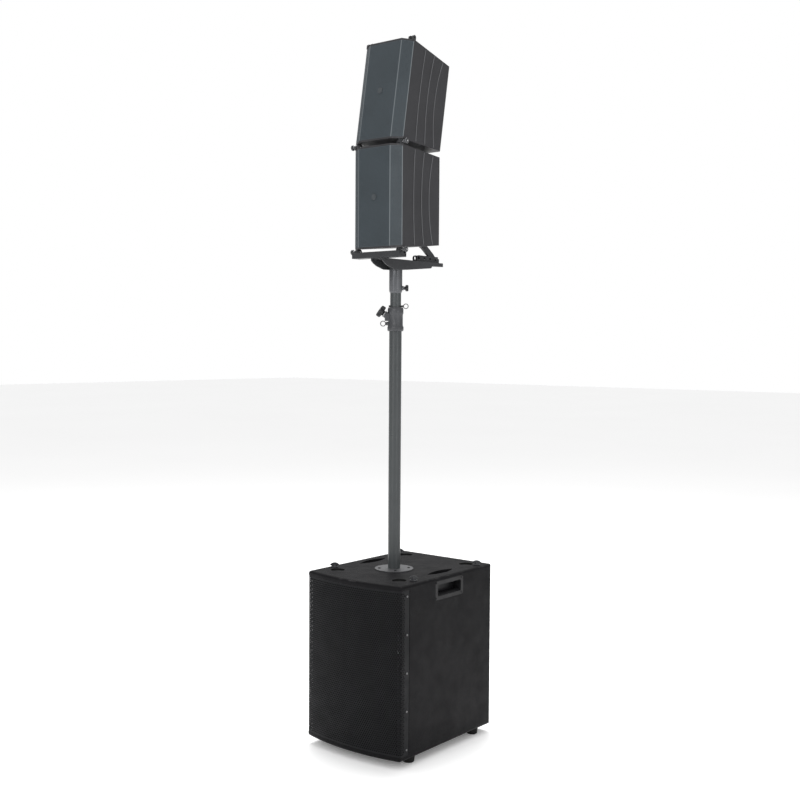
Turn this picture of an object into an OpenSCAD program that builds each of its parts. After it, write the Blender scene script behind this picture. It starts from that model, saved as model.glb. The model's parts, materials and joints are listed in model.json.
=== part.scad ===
// Column PA speaker: a powered subwoofer, a height-adjustable mast and two hinged top boxes.
// Frame: millimetres, +Z up, front faces -Y, origin on the floor under the middle of the sub.

/* [Subwoofer] */
// Width of the sub cabinet
sub_w = 385; // [360:1:420]
// Height of the sub cabinet without its feet
sub_h = 540; // [500:1:600]
// Depth from the bow of the grille to the back
sub_d = 500; // [480:1:540]
// Height of the rubber feet
foot_h = 25; // [15:1:35]
// Wall thickness of the sub cabinet
sub_wall = 15; // [12:1:18]
// How far the grille bows forward at its middle
bow = 25; // [15:1:30]
// Depth of the grille's side flange
flange_d = 40; // [30:1:50]
// Outer diameter of the woofer frame
woofer_d = 312; // [260:1:320]
// Bore of each bass port
port_d = 86; // [70:1:92]

/* [Mast] */
// Outer diameter of the lower tube
tube_d = 40; // [38:1:42]
// Diameter of the standard upper pole
pole_d = 35; // [34.5:0.5:36]
// Height of the collar's underside above the floor
collar_z = 1336; // [1200:1:1400]
// Height of the collar
collar_h = 76; // [60:1:90]
// Height of the bracket sleeve's lower end above the floor
sleeve_z = 1458; // [1430:1:1500]
// Where the mast stands, back from the middle of the sub
mast_y = -27; // [-60:1:40]
// Compass turn of the collar's clamp knob
knob_turn = 225; // [180:5:270]

/* [Bracket] */
// Height of the beam's top face above the floor
beam_top = 1565; // [1550:1:1600]
// Outer width of the folded beam
beam_w = 49; // [47:1:56]
// Thickness of the bracket's sheet steel
sheet = 3; // [2.5:0.5:4]
// Half length of the front bar
bar_half = 97; // [97:1:100]

/* [Top boxes] */
// Half width of a top box
box_hw = 97; // [95:1:99]
// Half width of its flat front facet
facet_hw = 64; // [55:1:75]
// Depth of the angled front facets
facet_d = 22.5; // [18:0.5:26]
// Depth of a top box
box_d = 215; // [205:1:225]
// Height of its front
box_h = 320; // [310:1:330]
// Rise of the bottom and drop of the top towards the back
box_taper = 20; // [15:1:25]
// Lean of the upper box
upper_tilt = 9.5; // [8:0.5:10]
// Diameter of the quick-release pins
pin_d = 6; // [5:0.5:6]

/* [Hidden] */
$fn = 48;
eps = 0.01;

paint = "#26272a";
grille_paint = "#1b1c1e";
steel_paint = "#3a3c40";
cloth_black = "#151516";
zinc = "#a9abad";
cap_grey = "#6f7275";
top_grey = "#41454b";

// Subwoofer
sub_x = sub_w / 2;
sub_back = sub_d / 2;
sub_front = -sub_d / 2;
sub_z0 = foot_h;
sub_z1 = foot_h + sub_h;
side_front = sub_front + bow + flange_d;
bow_r = (sub_x * sub_x + bow * bow) / (2 * bow);
slab = 15;
grille_t = 1.5;
baffle_y = side_front + 4;
baffle_t = 18;
woofer_z = sub_z0 + 325;
port_z = sub_z0 + 92;
port_x = 98;
rear_wall = 15;
ledge_t = 5;
plate_y = sub_back - rear_wall - 3;
amp_w = 270;
amp_h = 340;
amp_z = sub_z0 + 275;
handle_y = 17;
handle_z = sub_z0 + 498;
handle_l = 146;
handle_h = 60;
cup_r = 25;
cup_h = 8;
cup_draft = 0.4;
screw_z = [for (i = [0 : 4]) sub_z0 + 34 + i * 118];
foot_x = 157;
foot_y = [-142, 196];
cup_x = 128;
cup_y = [-158, 194];
latch_x = 165;
latch_y = [-132, 203];
plate_d = 125;
plate_t = 3;

// Mast
mast_z0 = sub_z1 + plate_t;
tube_top = collar_z + 35.5;
collar_top = collar_z + collar_h;
fit = 0.08;
clamp_z = collar_z + 30;
clamp_lift = 35;
plunger_turn = knob_turn - 6;
plunger_z = collar_z + 24;
safety_turn = knob_turn - 186;
safety_z = collar_top + 4;

// Top boxes: each hinges on two front eyes and is held by a link behind its back
eye_y = 25;
eye_drop = 6;
eye_r = 7.5;
link_y = box_d + 33;
link_low = box_taper + 7;
link_high = box_h - 45;
low_y = -137;
low_z = beam_top + 28;
hinge1_y = low_y + eye_y;
hinge1_z = low_z - eye_drop;
hinge2_y = hinge1_y;
hinge2_z = low_z + box_h + eye_drop;
up_y = hinge2_y - eye_y * cos(upper_tilt) + eye_drop * sin(upper_tilt);
up_z = hinge2_z + eye_y * sin(upper_tilt) + eye_drop * cos(upper_tilt);
pin_r = pin_d / 2;
cap = 5.5;
woofer2_z = 104;
horn_z = 236;
baffle2_y = 26;

// Links
row_z = beam_top + 12;
row_y = [80, 111, 141.5, 172];
strut_t = 8;
strut_w = 22;
cheek_in = 5;
cheek_t = 4;
link_pin_r = 3.5;
link1_y = low_y + link_y;
link1_z = low_z + link_low;
link2_y = low_y + link_y;
link2_z = low_z + link_high;
link3_y = up_y + link_y * cos(upper_tilt) + link_low * sin(upper_tilt);
link3_z = up_z - link_y * sin(upper_tilt) + link_low * cos(upper_tilt);

// ---- Shared shapes ----

// Rectangle centred on the origin with round corners
module round_rect(w, h, r) {
  square([w - 2 * r, h], center = true);
  square([w, h - 2 * r], center = true);
  for (x = [-1, 1], y = [-1, 1])
    translate([x * (w / 2 - r), y * (h / 2 - r)]) circle(r);
}

// Pointed oval made of two arcs
module lens(l, w) {
  r = (l * l + w * w) / (4 * w);
  intersection() {
    translate([r - w / 2, 0]) circle(r, $fn = 120);
    translate([w / 2 - r, 0]) circle(r, $fn = 120);
  }
}

// Turns a shape drawn up the Z axis so that it points back along +Y
module facing_back() rotate([-90, 0, 0]) children();

// Stands a plate drawn in (y, z) across X, from x0 to x1
module side_plate(x0, x1) {
  translate([x0, 0, 0]) rotate([90, 0, 90]) linear_extrude(x1 - x0) children();
}

// Copies its child at every pairing of +-x with the two y values
module four(x, ys) {
  for (s = [-1, 1], y = ys) translate([s * x, y, 0]) children();
}

// Countersunk-looking screw head on a short shank, head up +Z
module screw(r = 3.5, shank = 10) {
  difference() {
    cylinder(r = r, h = 2);
    translate([0, 0, 1]) cylinder(r = r * 0.45, h = 2, $fn = 6);
  }
  translate([0, 0, -shank]) cylinder(r = r * 0.45, h = shank + eps, $fn = 24);
}

// Star knob: a hub and a ring of lobes, axis +Z
module star(r, lobe, n, h) {
  cylinder(r = r - 0.7 * lobe, h = h);
  for (i = [0 : n - 1])
    rotate(i * 360 / n) translate([r - lobe, 0, 0]) cylinder(r = lobe, h = h, $fn = 32);
}

// ---- Subwoofer ----

module sub_outline() {
  intersection() {
    translate([0, sub_back, (sub_z0 + sub_z1) / 2])
      rotate([90, 0, 0]) linear_extrude(sub_d + 1) round_rect(sub_w, sub_h, 10);
    translate([0, sub_front + bow_r, sub_z0])
      rotate_extrude($fn = 360) bow_section();
    translate([0, 0, sub_z0 - 1]) linear_extrude(sub_h + 2) {
      translate([-sub_x - 1, sub_front - 1]) square([sub_w + 2, sub_d / 2]);
      round_rect(sub_w, sub_d, 8);
    }
  }
}

module bow_section() {
  r = 8;
  square([bow_r - r, sub_h]);
  translate([0, r]) square([bow_r, sub_h - 2 * r]);
  for (z = [r, sub_h - r]) translate([bow_r - r, z]) circle(r);
}

module sub_cabinet() {
  color(paint) difference() {
    sub_outline();
    translate([-sub_x - 1, sub_front - 1, sub_z0 + slab])
      cube([sub_w + 2, side_front - sub_front + 1, sub_h - 2 * slab]);
    translate([-sub_x + sub_wall, side_front - 1, sub_z0 + sub_wall])
      cube([sub_w - 2 * sub_wall, plate_y - ledge_t - side_front + 1, sub_h - 2 * sub_wall]);
    translate([0, plate_y - ledge_t - 1, amp_z]) facing_back()
      linear_extrude(30) round_rect(amp_w - 30, amp_h - 30, 8);
    translate([0, plate_y, amp_z]) facing_back()
      linear_extrude(30) round_rect(amp_w, amp_h, 8);
    for (s = [-1, 1]) scale([s, 1, 1]) handle_cut();
    translate([0, 0, sub_z1 - cup_h]) four(cup_x, cup_y)
      cylinder(r1 = cup_r - cup_draft + 0.1, r2 = cup_r + cup_draft + 0.1, h = 2 * cup_h);
    for (s = [-1, 1])
      translate([s * 142, 33, sub_z1 - 9]) linear_extrude(10) lens(132, 34);
    translate([0, mast_y, sub_z1 - sub_wall - 1]) cylinder(d = 52, h = 30);
  }
  // Battens that the grille's screws bite into
  color(paint) for (x = [grille_t - sub_x, sub_x - grille_t - 14])
    translate([x, side_front - 22, sub_z0 + slab]) cube([14, 23, sub_h - 2 * slab]);
}

module handle_cut() {
  translate([sub_x - sub_wall - 1, handle_y, handle_z]) rotate([90, 0, 90])
    linear_extrude(30) round_rect(handle_l - 16, handle_h - 16, 6);
  translate([sub_x - 2, handle_y, handle_z]) rotate([90, 0, 90])
    linear_extrude(30) round_rect(handle_l, handle_h, 8);
}

module sub_baffle() {
  w = sub_w - 2 * sub_wall;
  h = sub_h - 2 * sub_wall;
  color(cloth_black) difference() {
    translate([-w / 2, baffle_y, sub_z0 + sub_wall]) cube([w, baffle_t, h]);
    translate([0, baffle_y - 1, woofer_z]) facing_back() cylinder(d = woofer_d - 28, h = 30);
    for (s = [-1, 1])
      translate([s * port_x, baffle_y - 1, port_z]) facing_back() cylinder(d = port_d + 6, h = 30);
  }
}

// Bent perforated sheet: bowed front and two side flanges, with a dark seam behind them
module sub_grille() {
  gap = 0.8;
  color(grille_paint) difference() {
    intersection() {
      difference() {
        grille_plan(0);
        grille_plan(grille_t);
      }
      translate([-sub_x, sub_front - 1, sub_z0 + slab + gap])
        cube([sub_w, side_front - sub_front - 1, sub_h - 2 * slab - 2 * gap]);
    }
    for (z = screw_z)
      translate([-sub_x - 1, side_front - 13, z]) rotate([0, 90, 0])
        cylinder(r = 1.5, h = sub_w + 2);
  }
}

module grille_plan(inset) {
  intersection() {
    translate([0, sub_front + bow_r, sub_z0]) cylinder(r = bow_r - inset, h = sub_h, $fn = 360);
    translate([-sub_x + inset, sub_front - 1, sub_z0 - 1])
      cube([sub_w - 2 * inset, sub_d, sub_h + 2]);
  }
}

module grille_screws() {
  color(zinc) for (s = [-1, 1], z = screw_z)
    translate([s * sub_x, side_front - 13, z]) rotate([0, s * 90, 0]) screw(3, 6);
}

module woofer_frame() {
  r = woofer_d / 2;
  color(steel_paint) translate([0, baffle_y, woofer_z]) facing_back() difference() {
    rotate_extrude($fn = 96) polygon([
      [r - 22, -6], [r, -6], [r, 0], [r - 15, 0], [r - 20, 12], [76, 92], [30, 92],
      [30, 86], [72, 86], [r - 26, 9]
    ]);
    for (i = [0 : 5]) rotate(i * 60 + 30) translate([105, 0, 26]) cylinder(r = 24, h = 52);
    for (i = [0 : 7]) rotate(i * 45) translate([r - 8, 0, -10]) cylinder(r = 2.6, h = 20);
  }
}

module woofer_surround() {
  color(cloth_black) translate([0, baffle_y - 6, woofer_z]) facing_back()
    rotate_extrude($fn = 96) difference() {
      translate([126, 0]) circle(8);
      translate([126, 0]) circle(6.5);
      translate([110, 0]) square([32, 10]);
    }
}

module woofer_cone() {
  color(cloth_black) translate([0, baffle_y - 6, woofer_z]) facing_back()
    rotate_extrude($fn = 96) polygon([
      [0, 30], [22, 34], [42, 46], [117.5, 0], [117.5, 3], [40, 52], [27, 58], [27, 78],
      [25.5, 78], [25.5, 54], [38, 47], [20, 36.5], [0, 32]
    ]);
}

module woofer_magnet() {
  color(zinc) translate([0, baffle_y + 92, woofer_z]) facing_back() difference() {
    cylinder(d = 145, h = 42);
    translate([0, 0, -1]) cylinder(r = 29, h = 30);
  }
}

module woofer_screws() {
  color(zinc) translate([0, baffle_y - 6, woofer_z]) rotate([90, 0, 0])
    for (i = [0 : 7]) rotate(i * 45) translate([woofer_d / 2 - 8, 0, 0]) screw(4, 5);
}

module bass_ports() {
  r = port_d / 2;
  color(cloth_black) for (s = [-1, 1])
    translate([s * port_x, baffle_y, port_z]) facing_back()
      rotate_extrude($fn = 72) polygon([
        [r + 2, -8], [r + 12, -8], [r + 12, 0], [r + 2.8, 0], [r + 2.8, 160], [r, 160], [r, 2]
      ]);
}

// Recessed hand hold with a swollen lower lip
module handle(side) {
  deep = 34;
  color(cloth_black) scale([side, 1, 1]) translate([0, handle_y, handle_z]) {
    difference() {
      union() {
        translate([sub_x - 2, 0, 0]) rotate([90, 0, 90])
          linear_extrude(2) round_rect(handle_l - 0.4, handle_h - 0.4, 7.8);
        translate([sub_x - deep, 0, 0]) rotate([90, 0, 90])
          linear_extrude(deep - 1) round_rect(handle_l - 17, handle_h - 17, 5.5);
      }
      translate([sub_x - deep + 2.5, 0, 0]) rotate([90, 0, 90])
        linear_extrude(deep) round_rect(handle_l - 24, handle_h - 24, 5);
      for (y = [-67, 67], z = [-24, 24])
        translate([sub_x - 4, y, z]) rotate([0, 90, 0]) cylinder(r = 1.3, h = 8, $fn = 24);
    }
    intersection() {
      translate([sub_x - 16, 0, -handle_h / 2 + 2]) rotate([90, 0, 0])
        cylinder(r = 15, h = handle_l, center = true, $fn = 96);
      translate([sub_x - deep + 1, -handle_l / 2 + 11, -handle_h / 2 + 11])
        cube([deep - 2, handle_l - 22, 20]);
    }
  }
}

module handles() for (side = [-1, 1]) handle(side);

// Screws of the hand holds, the amplifier plate and the mast's plate
module body_screws() {
  color(zinc) {
    for (s = [-1, 1], y = [-1, 1], z = [-1, 1])
      translate([s * sub_x, handle_y + y * 67, handle_z + z * 24])
        rotate([0, s * 90, 0]) screw(2.6, 10);
    for (x = [-1, 1], z = [-1, 0, 1])
      translate([x * (amp_w / 2 - 8), plate_y + 3, amp_z + z * (amp_h / 2 - 8)])
        facing_back() screw(3.5, 6);
    translate([0, mast_y, sub_z1 + plate_t])
      for (i = [0 : 3]) rotate(45 + i * 90) translate([48, 0, 0]) screw(4.5, 12);
  }
}

// Four moulded cups let into the top, for the feet of a box stacked there; drafted outside
module stack_cups() {
  color(cloth_black) translate([0, 0, sub_z1 - cup_h]) four(cup_x, cup_y) difference() {
    cylinder(r1 = cup_r - cup_draft, r2 = cup_r, h = cup_h);
    translate([0, 0, 2]) cylinder(r = cup_r - 2, h = cup_h);
  }
}

// Quarter-turn wing latch for a transport board
module latch(x, y) {
  color(steel_paint) translate([x, y, sub_z1]) {
    cylinder(r = 12, h = 3);
    cylinder(r = 5, h = 12);
    translate([0, 0, 9]) rotate(45) rotate([90, 0, 0])
      translate([0, 0, -2]) linear_extrude(4) rotate(90) lens(30, 13);
  }
}

module latch_front_left() latch(-latch_x, latch_y[0]);

module latch_front_right() latch(latch_x, latch_y[0]);

module latch_rear_left() latch(-latch_x, latch_y[1]);

module latch_rear_right() latch(latch_x, latch_y[1]);

module rubber_feet() {
  color(cloth_black) four(foot_x, foot_y) rotate_extrude()
    polygon([[5, 0], [16, 0], [18, 2], [20, foot_h - 3], [20, foot_h], [0, foot_h], [0, 8], [5, 8]]);
}

module pole_plate() {
  color(zinc) translate([0, mast_y, sub_z1]) difference() {
    union() {
      cylinder(d = plate_d, h = plate_t, $fn = 96);
      translate([0, 0, -40]) cylinder(d = 45, h = 41);
    }
    translate([0, 0, -36]) cylinder(r = 10.05, h = 50);
    for (i = [0 : 3]) rotate(45 + i * 90) translate([48, 0, -10]) cylinder(r = 2.1, h = 20);
  }
}

// ---- Amplifier ----

in_x = [25, 65];
out_x = [-65, -25];
jack_z = amp_z + 20;
knob_x = [25, 75];
dial_z = amp_z + 92;
inlet_x = 78;
switch_x = 30;
mains_z = amp_z - 100;

module amp_plate() {
  color(steel_paint) difference() {
    translate([0, plate_y, amp_z]) facing_back()
      linear_extrude(3) round_rect(amp_w - 0.6, amp_h - 0.6, 7.7);
    for (x = concat(in_x, out_x))
      translate([x, plate_y - 1, jack_z]) facing_back() cylinder(r = 12, h = 6);
    for (x = knob_x)
      translate([x, plate_y - 1, dial_z]) facing_back() cylinder(r = 3.2, h = 6);
    translate([inlet_x - 24, plate_y - 1, mains_z - 14]) cube([48, 6, 28]);
    translate([switch_x - 11, plate_y - 1, mains_z - 8]) cube([22, 6, 16]);
    for (x = [-1, 1], z = [-1, 0, 1])
      translate([x * (amp_w / 2 - 8), plate_y - 1, amp_z + z * (amp_h / 2 - 8)])
        facing_back() cylinder(r = 1.7, h = 6);
  }
}

module heat_sink() {
  color(steel_paint) translate([-118, plate_y + 3, amp_z + 52]) {
    cube([104, 3, 100]);
    for (i = [0 : 12]) translate([i * 8.5, 0, 0]) cube([2, 11, 100]);
  }
}

module mains_inlet() {
  color(cloth_black) translate([inlet_x, plate_y + 3, mains_z]) {
    difference() {
      union() {
        translate([-27, 0, -17]) cube([54, 2.5, 34]);
        translate([-23.5, -24, -13.5]) cube([47, 24, 27]);
      }
      translate([-12.5, -18, -8.5]) cube([25, 30, 17]);
    }
    for (x = [-1, 0, 1])
      translate([x * 7 - 1, -18.5, -3 + abs(x) * -2 + 2]) cube([2, 12, 5]);
  }
}

module signal_sockets() {
  color(cloth_black) for (x = concat(in_x, out_x))
    translate([x, plate_y + 3, jack_z]) facing_back() difference() {
      union() {
        translate([0, 0, 0]) linear_extrude(2.5) round_rect(27, 32, 3);
        translate([0, 0, -20]) cylinder(r = 11.8, h = 21);
      }
      translate([0, 0, -14]) cylinder(r = 9.6, h = 20);
    }
}

module power_switch() {
  color(cloth_black) translate([switch_x, plate_y + 3, mains_z])
    intersection() {
      rotate([0, 90, 0]) cylinder(r = 7, h = 20, center = true);
      translate([-10, -6, -7]) cube([20, 12, 14]);
    }
}

module dial(x) {
  color(cap_grey) translate([x, plate_y + 3, dial_z]) facing_back() {
    translate([0, 0, -4]) cylinder(r = 3, h = 5);
    difference() {
      translate([0, 0, 0.5]) cylinder(r = 9, h = 11);
      translate([-0.8, 3, 10.5]) cube([1.6, 7, 3]);
    }
  }
}

module sub_level_knob() dial(knob_x[0]);

module tops_level_knob() dial(knob_x[1]);

module amp_board() {
  color("darkgreen") translate([-105, plate_y - 26, amp_z - 130]) cube([210, 1.6, 130]);
  color(zinc) for (x = [-80, -30, 55]) translate([x, plate_y - 51, amp_z - 90])
    cube([34, 25, 50]);
}

// ---- Mast ----

module pole_lower_tube() {
  r = tube_d / 2;
  color(cap_grey) translate([0, mast_y, 0]) {
    difference() {
      translate([0, 0, mast_z0]) cylinder(r = r, h = tube_top - mast_z0, $fn = 72);
      translate([0, 0, mast_z0 + 12]) cylinder(r = r - 2, h = tube_top, $fn = 72);
    }
    translate([0, 0, mast_z0 - 34]) cylinder(r = 10, h = 35);
  }
}

// Clamp collar over the top of the lower tube, with the boss of its knob
module pole_collar() {
  r = tube_d / 2;
  step = tube_top - collar_z + 0.5;
  color(steel_paint) translate([0, mast_y, collar_z]) difference() {
    union() {
      rotate_extrude($fn = 72) polygon([
        [r - 1, 0], [r + 4, 0], [r + 6, 3], [r + 6, 13], [r + 3.6, 19], [r + 3.6, 52],
        [r + 5.4, 57], [r + 5.4, 70], [r + 3, collar_h], [r - 1, collar_h]
      ]);
      rotate(knob_turn) translate([0, 0, clamp_z - collar_z]) {
        rotate([0, 90 - clamp_lift, 0]) translate([0, 0, 20]) cylinder(r = 10.5, h = 23);
        translate([18, -11, 2.5]) cube([16, 22, 23.5]);
      }
      rotate(plunger_turn) translate([20, 0, plunger_z - collar_z]) rotate([0, 90, 0])
        cylinder(r = 6, h = 9);
    }
    translate([0, 0, -1]) cylinder(r = r + fit, h = step + 1, $fn = 72);
    translate([0, 0, -1]) cylinder(r = pole_d / 2 + fit, h = collar_h + 2, $fn = 72);
    rotate(knob_turn) translate([0, 0, clamp_z - collar_z]) rotate([0, 90 - clamp_lift, 0])
      cylinder(r = 4 + fit, h = 60);
    rotate(plunger_turn) translate([0, 0, plunger_z - collar_z]) rotate([0, 90, 0])
      cylinder(r = 2.5 + fit, h = 60);
  }
}

module collar_knob() {
  color(cloth_black) translate([0, mast_y, clamp_z]) rotate(knob_turn)
    rotate([0, 90 - clamp_lift, 0]) {
      translate([0, 0, 27]) cylinder(r = 4, h = 24);
      translate([0, 0, 43.5]) cylinder(r = 12, h = 2.5);
      translate([0, 0, 46]) cylinder(r = 9, h = 5);
      translate([0, 0, 50]) star(21, 5.5, 6, 15);
    }
}

module collar_plunger() {
  color(zinc) translate([0, mast_y, plunger_z]) rotate(plunger_turn) {
    translate([20.6, 0, 0]) rotate([0, 90, 0]) cylinder(r = 2.5, h = 9);
    translate([29.2, 0, 0]) rotate([0, 90, 0]) cylinder(r = 4.5, h = 3.5);
    translate([40, 0, 0]) rotate([90, 0, 0]) rotate_extrude() translate([8, 0]) circle(1.3, $fn = 24);
  }
}

module pole_upper_tube() {
  r = pole_d / 2;
  color(cap_grey) translate([0, mast_y, 0]) difference() {
    translate([0, 0, mast_z0 + 40]) cylinder(r = r, h = beam_top - sheet - 2 - mast_z0 - 40, $fn = 72);
    translate([0, 0, mast_z0 + 30]) cylinder(r = r - 2, h = beam_top - mast_z0 - 40, $fn = 72);
    rotate(safety_turn) for (i = [0 : 9])
      translate([-30, 0, safety_z - i * 60]) rotate([0, 90, 0]) cylinder(r = 3 + fit, h = 60);
  }
}

// Locking pin that rests on the collar, with a wire ring
module safety_pin() {
  color(zinc) translate([0, mast_y, safety_z]) rotate(safety_turn) {
    translate([-22, 0, 0]) rotate([0, 90, 0]) cylinder(r = 3, h = 46);
    translate([24, 0, 0]) rotate([0, 90, 0]) cylinder(r = 4.5, h = 3);
    translate([33, 0, 0]) rotate([90, 0, 0]) rotate_extrude() translate([7.5, 0]) circle(1.2, $fn = 24);
  }
}

// ---- Bracket ----

module bracket_sleeve() {
  r = 21;
  top = beam_top - sheet;
  color(steel_paint) translate([0, mast_y, 0]) difference() {
    union() {
      translate([0, 0, sleeve_z]) rotate_extrude($fn = 72) polygon([
        [10, 0], [r - 3, 0], [r, 6], [r, top - sleeve_z], [10, top - sleeve_z]
      ]);
      translate([0, 0, sleeve_z + 16]) rotate(safety_turn) rotate([0, 90, 0])
        cylinder(r = 7, h = 26);
    }
    translate([0, 0, sleeve_z - 1])
      cylinder(r = pole_d / 2 + fit, h = top - sleeve_z - 0.5, $fn = 72);
    translate([0, 0, sleeve_z + 16]) rotate(safety_turn) rotate([0, 90, 0])
      cylinder(r = 3 + fit, h = 60);
  }
}

module bracket_knob() {
  color(cloth_black) translate([0, mast_y, sleeve_z + 16]) rotate(safety_turn)
    rotate([0, 90, 0]) {
      translate([0, 0, 18]) cylinder(r = 3, h = 12);
      translate([0, 0, 26.5]) cylinder(r = 6, h = 5);
      translate([0, 0, 31]) star(11, 3, 6, 10);
    }
}

// Beam folded from sheet: a top web and two flanges that deepen at the mast
module bracket_beam() {
  hw = beam_w / 2;
  t = beam_top;
  color(steel_paint) {
    for (s = [-1, 1])
      side_plate(s > 0 ? hw - sheet : -hw, s > 0 ? hw : -hw + sheet)
        polygon([
          [-122, t - sheet], [-122, t - 8], [-112, t - 16], [-96, t - 24], [-62, t - 33],
          [0, t - 32], [128, t - 20], [128, t - 14], [192, t - 12], [192, t - sheet]
        ]);
    translate([-hw, -122, t - sheet]) cube([beam_w, 314, sheet]);
  }
}

// Channel across the beam, with a pair of pin lugs at each end
module front_bar() {
  w = 36;
  color(steel_paint) translate([0, hinge1_y, beam_top]) difference() {
    union() {
      translate([-bar_half, -w / 2, 0]) cube([2 * bar_half, w, sheet]);
      for (y = [-w / 2, w / 2 - sheet])
        translate([-bar_half, y, 0]) cube([2 * bar_half, sheet, 19]);
      for (s = [-1, 1], x = [78.5, 92.5])
        side_plate(s * x - 2.5, s * x + 2.5) {
          translate([-w / 2 + 1, 0]) square([w - 2, 12]);
          translate([-eye_r, 0]) square([2 * eye_r, 22]);
          translate([0, 22]) circle(eye_r);
        }
    }
    translate([-bar_half - 1, 0, hinge1_z - beam_top]) rotate([0, 90, 0])
      cylinder(r = pin_r + fit, h = 2 * bar_half + 2);
  }
}

// Two upright plates with the row of angle holes, and their fixed cross pin
module tilt_plates() {
  h = 21;
  color(steel_paint) {
    translate([-cheek_in - cheek_t, 66, beam_top]) cube([2 * (cheek_in + cheek_t), 124, sheet]);
    for (s = [-1, 1])
      side_plate(s > 0 ? cheek_in : -cheek_in - cheek_t, s > 0 ? cheek_in + cheek_t : -cheek_in)
        difference() {
          union() {
            translate([row_y[0], beam_top]) square([104, h]);
            translate([row_y[0], row_z - 1.5]) circle(10.5);
            translate([row_y[3] + 12, beam_top]) square([6, h - 6]);
          }
          for (y = [row_y[1], row_y[2]]) translate([y, row_z]) circle(link_pin_r + fit);
          translate([row_y[0], row_z]) circle(5.5);
        }
  }
  color(zinc) translate([-13, row_y[3], row_z]) rotate([0, 90, 0])
    cylinder(r = link_pin_r, h = 26);
}

// Flat link: bored at its foot, slotted along its length at its head
module strut(foot, head, reach, tail) {
  dy = head[0] - foot[0];
  dz = head[1] - foot[1];
  l = sqrt(dy * dy + dz * dz);
  slot = 2 * link_pin_r + 3.5;
  translate([0, foot[0], foot[1]]) rotate([atan2(dz, dy) - 90, 0, 0])
    rotate([90, 0, 90]) translate([0, 0, -strut_t / 2]) linear_extrude(strut_t) difference() {
      union() {
        circle(8.5);
        polygon([
          [-8.5, 0], [8.5, 0], [strut_w / 2, 16], [strut_w / 2, l + reach],
          [strut_w / 2 - 4, l + reach + 8], [4 - strut_w / 2, l + reach + 8],
          [-strut_w / 2, l + reach], [-strut_w / 2, 16]
        ]);
      }
      circle(link_pin_r + fit);
      translate([-slot / 2, l - tail]) square([slot, reach + tail]);
      for (y = [l - tail, l + reach]) translate([0, y]) circle(slot / 2);
    }
}

module lower_strut() {
  color(steel_paint) strut([row_y[3], row_z], [link1_y, link1_z], 11, 9);
}

module upper_strut() {
  color(steel_paint) strut([link2_y, link2_z], [link3_y, link3_z], 21, 17);
}

// Quick-release pin with a mushroom head; side is -1 or 1
module quick_pin(side, y, z) {
  color(cap_grey) translate([0, y, z]) rotate([0, side * 90, 0]) {
    translate([0, 0, 74]) cylinder(r = pin_r, h = 24);
    translate([0, 0, 97.5]) rotate_extrude()
      polygon([[0, 0], [5.5, 0], [5.5, 3], [3.5, 5], [3.5, 8], [9, 11], [9, 14], [6, 17], [0, 18]]);
  }
}

module lower_pin_left() quick_pin(-1, hinge1_y, hinge1_z);

module lower_pin_right() quick_pin(1, hinge1_y, hinge1_z);

module upper_pin_left() quick_pin(-1, hinge2_y, hinge2_z);

module upper_pin_right() quick_pin(1, hinge2_y, hinge2_z);

// ---- Top boxes, drawn with the front bottom edge on the X axis ----

module at_lower() translate([0, low_y, low_z]) children();

module at_upper() translate([0, up_y, up_z]) rotate([-upper_tilt, 0, 0]) children();

// Side view of the box, pulled in by m at top and bottom
module box_side(m) {
  polygon([
    [-5, m - 5 * box_taper / box_d], [box_d + 5, m + box_taper * (1 + 5 / box_d)],
    [box_d + 5, box_h - m - box_taper * (1 + 5 / box_d)],
    [-5, box_h - m + 5 * box_taper / box_d]
  ]);
}

// Plan of the box, pulled in by m all round
module box_plan(m) {
  k = m * tan(atan2(facet_d, box_hw - facet_hw) / 2);
  j = m * tan(45 - atan2(facet_d, box_hw - facet_hw) / 2);
  polygon([
    [k - facet_hw, m], [facet_hw - k, m], [box_hw - m, facet_d + j], [box_hw - m, box_d - 5],
    [box_hw - 5, box_d - m], [5 - box_hw, box_d - m], [m - box_hw, box_d - 5],
    [m - box_hw, facet_d + j]
  ]);
}

module box_solid(m, mz) {
  intersection() {
    linear_extrude(box_h) box_plan(m);
    side_plate(-box_hw, box_hw) box_side(mz);
  }
}

// Three bowed ribs that stand a little proud of each side
module side_ribs() {
  for (rib = [[83, 6], [130, 13], [178, 23]]) {
    r = (150 * 150 + rib[1] * rib[1]) / (2 * rib[1]);
    intersection() {
      side_plate(-box_hw - 1, box_hw + 1) intersection() {
        difference() {
          translate([rib[0] - rib[1] + r, box_h / 2]) circle(r + 1.2, $fn = 360);
          translate([rib[0] - rib[1] + r, box_h / 2]) circle(r - 1.2, $fn = 360);
        }
        translate([40, 0]) square([box_d - 42, box_h]);
        box_side(4);
      }
      for (s = [-1, 1]) translate([s * box_hw - 1, 0, 0]) cube([2, box_d, box_h]);
    }
  }
}

module lug_pads() {
  for (s = [-1, 1]) translate([s * 85.5 - 10.5, eye_y - 13, 0]) {
    translate([0, 0, -4]) cube([21, 26, 10.6]);
    translate([0, 0, box_h - 6.6]) cube([21, 26, 10.6]);
  }
}

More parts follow.
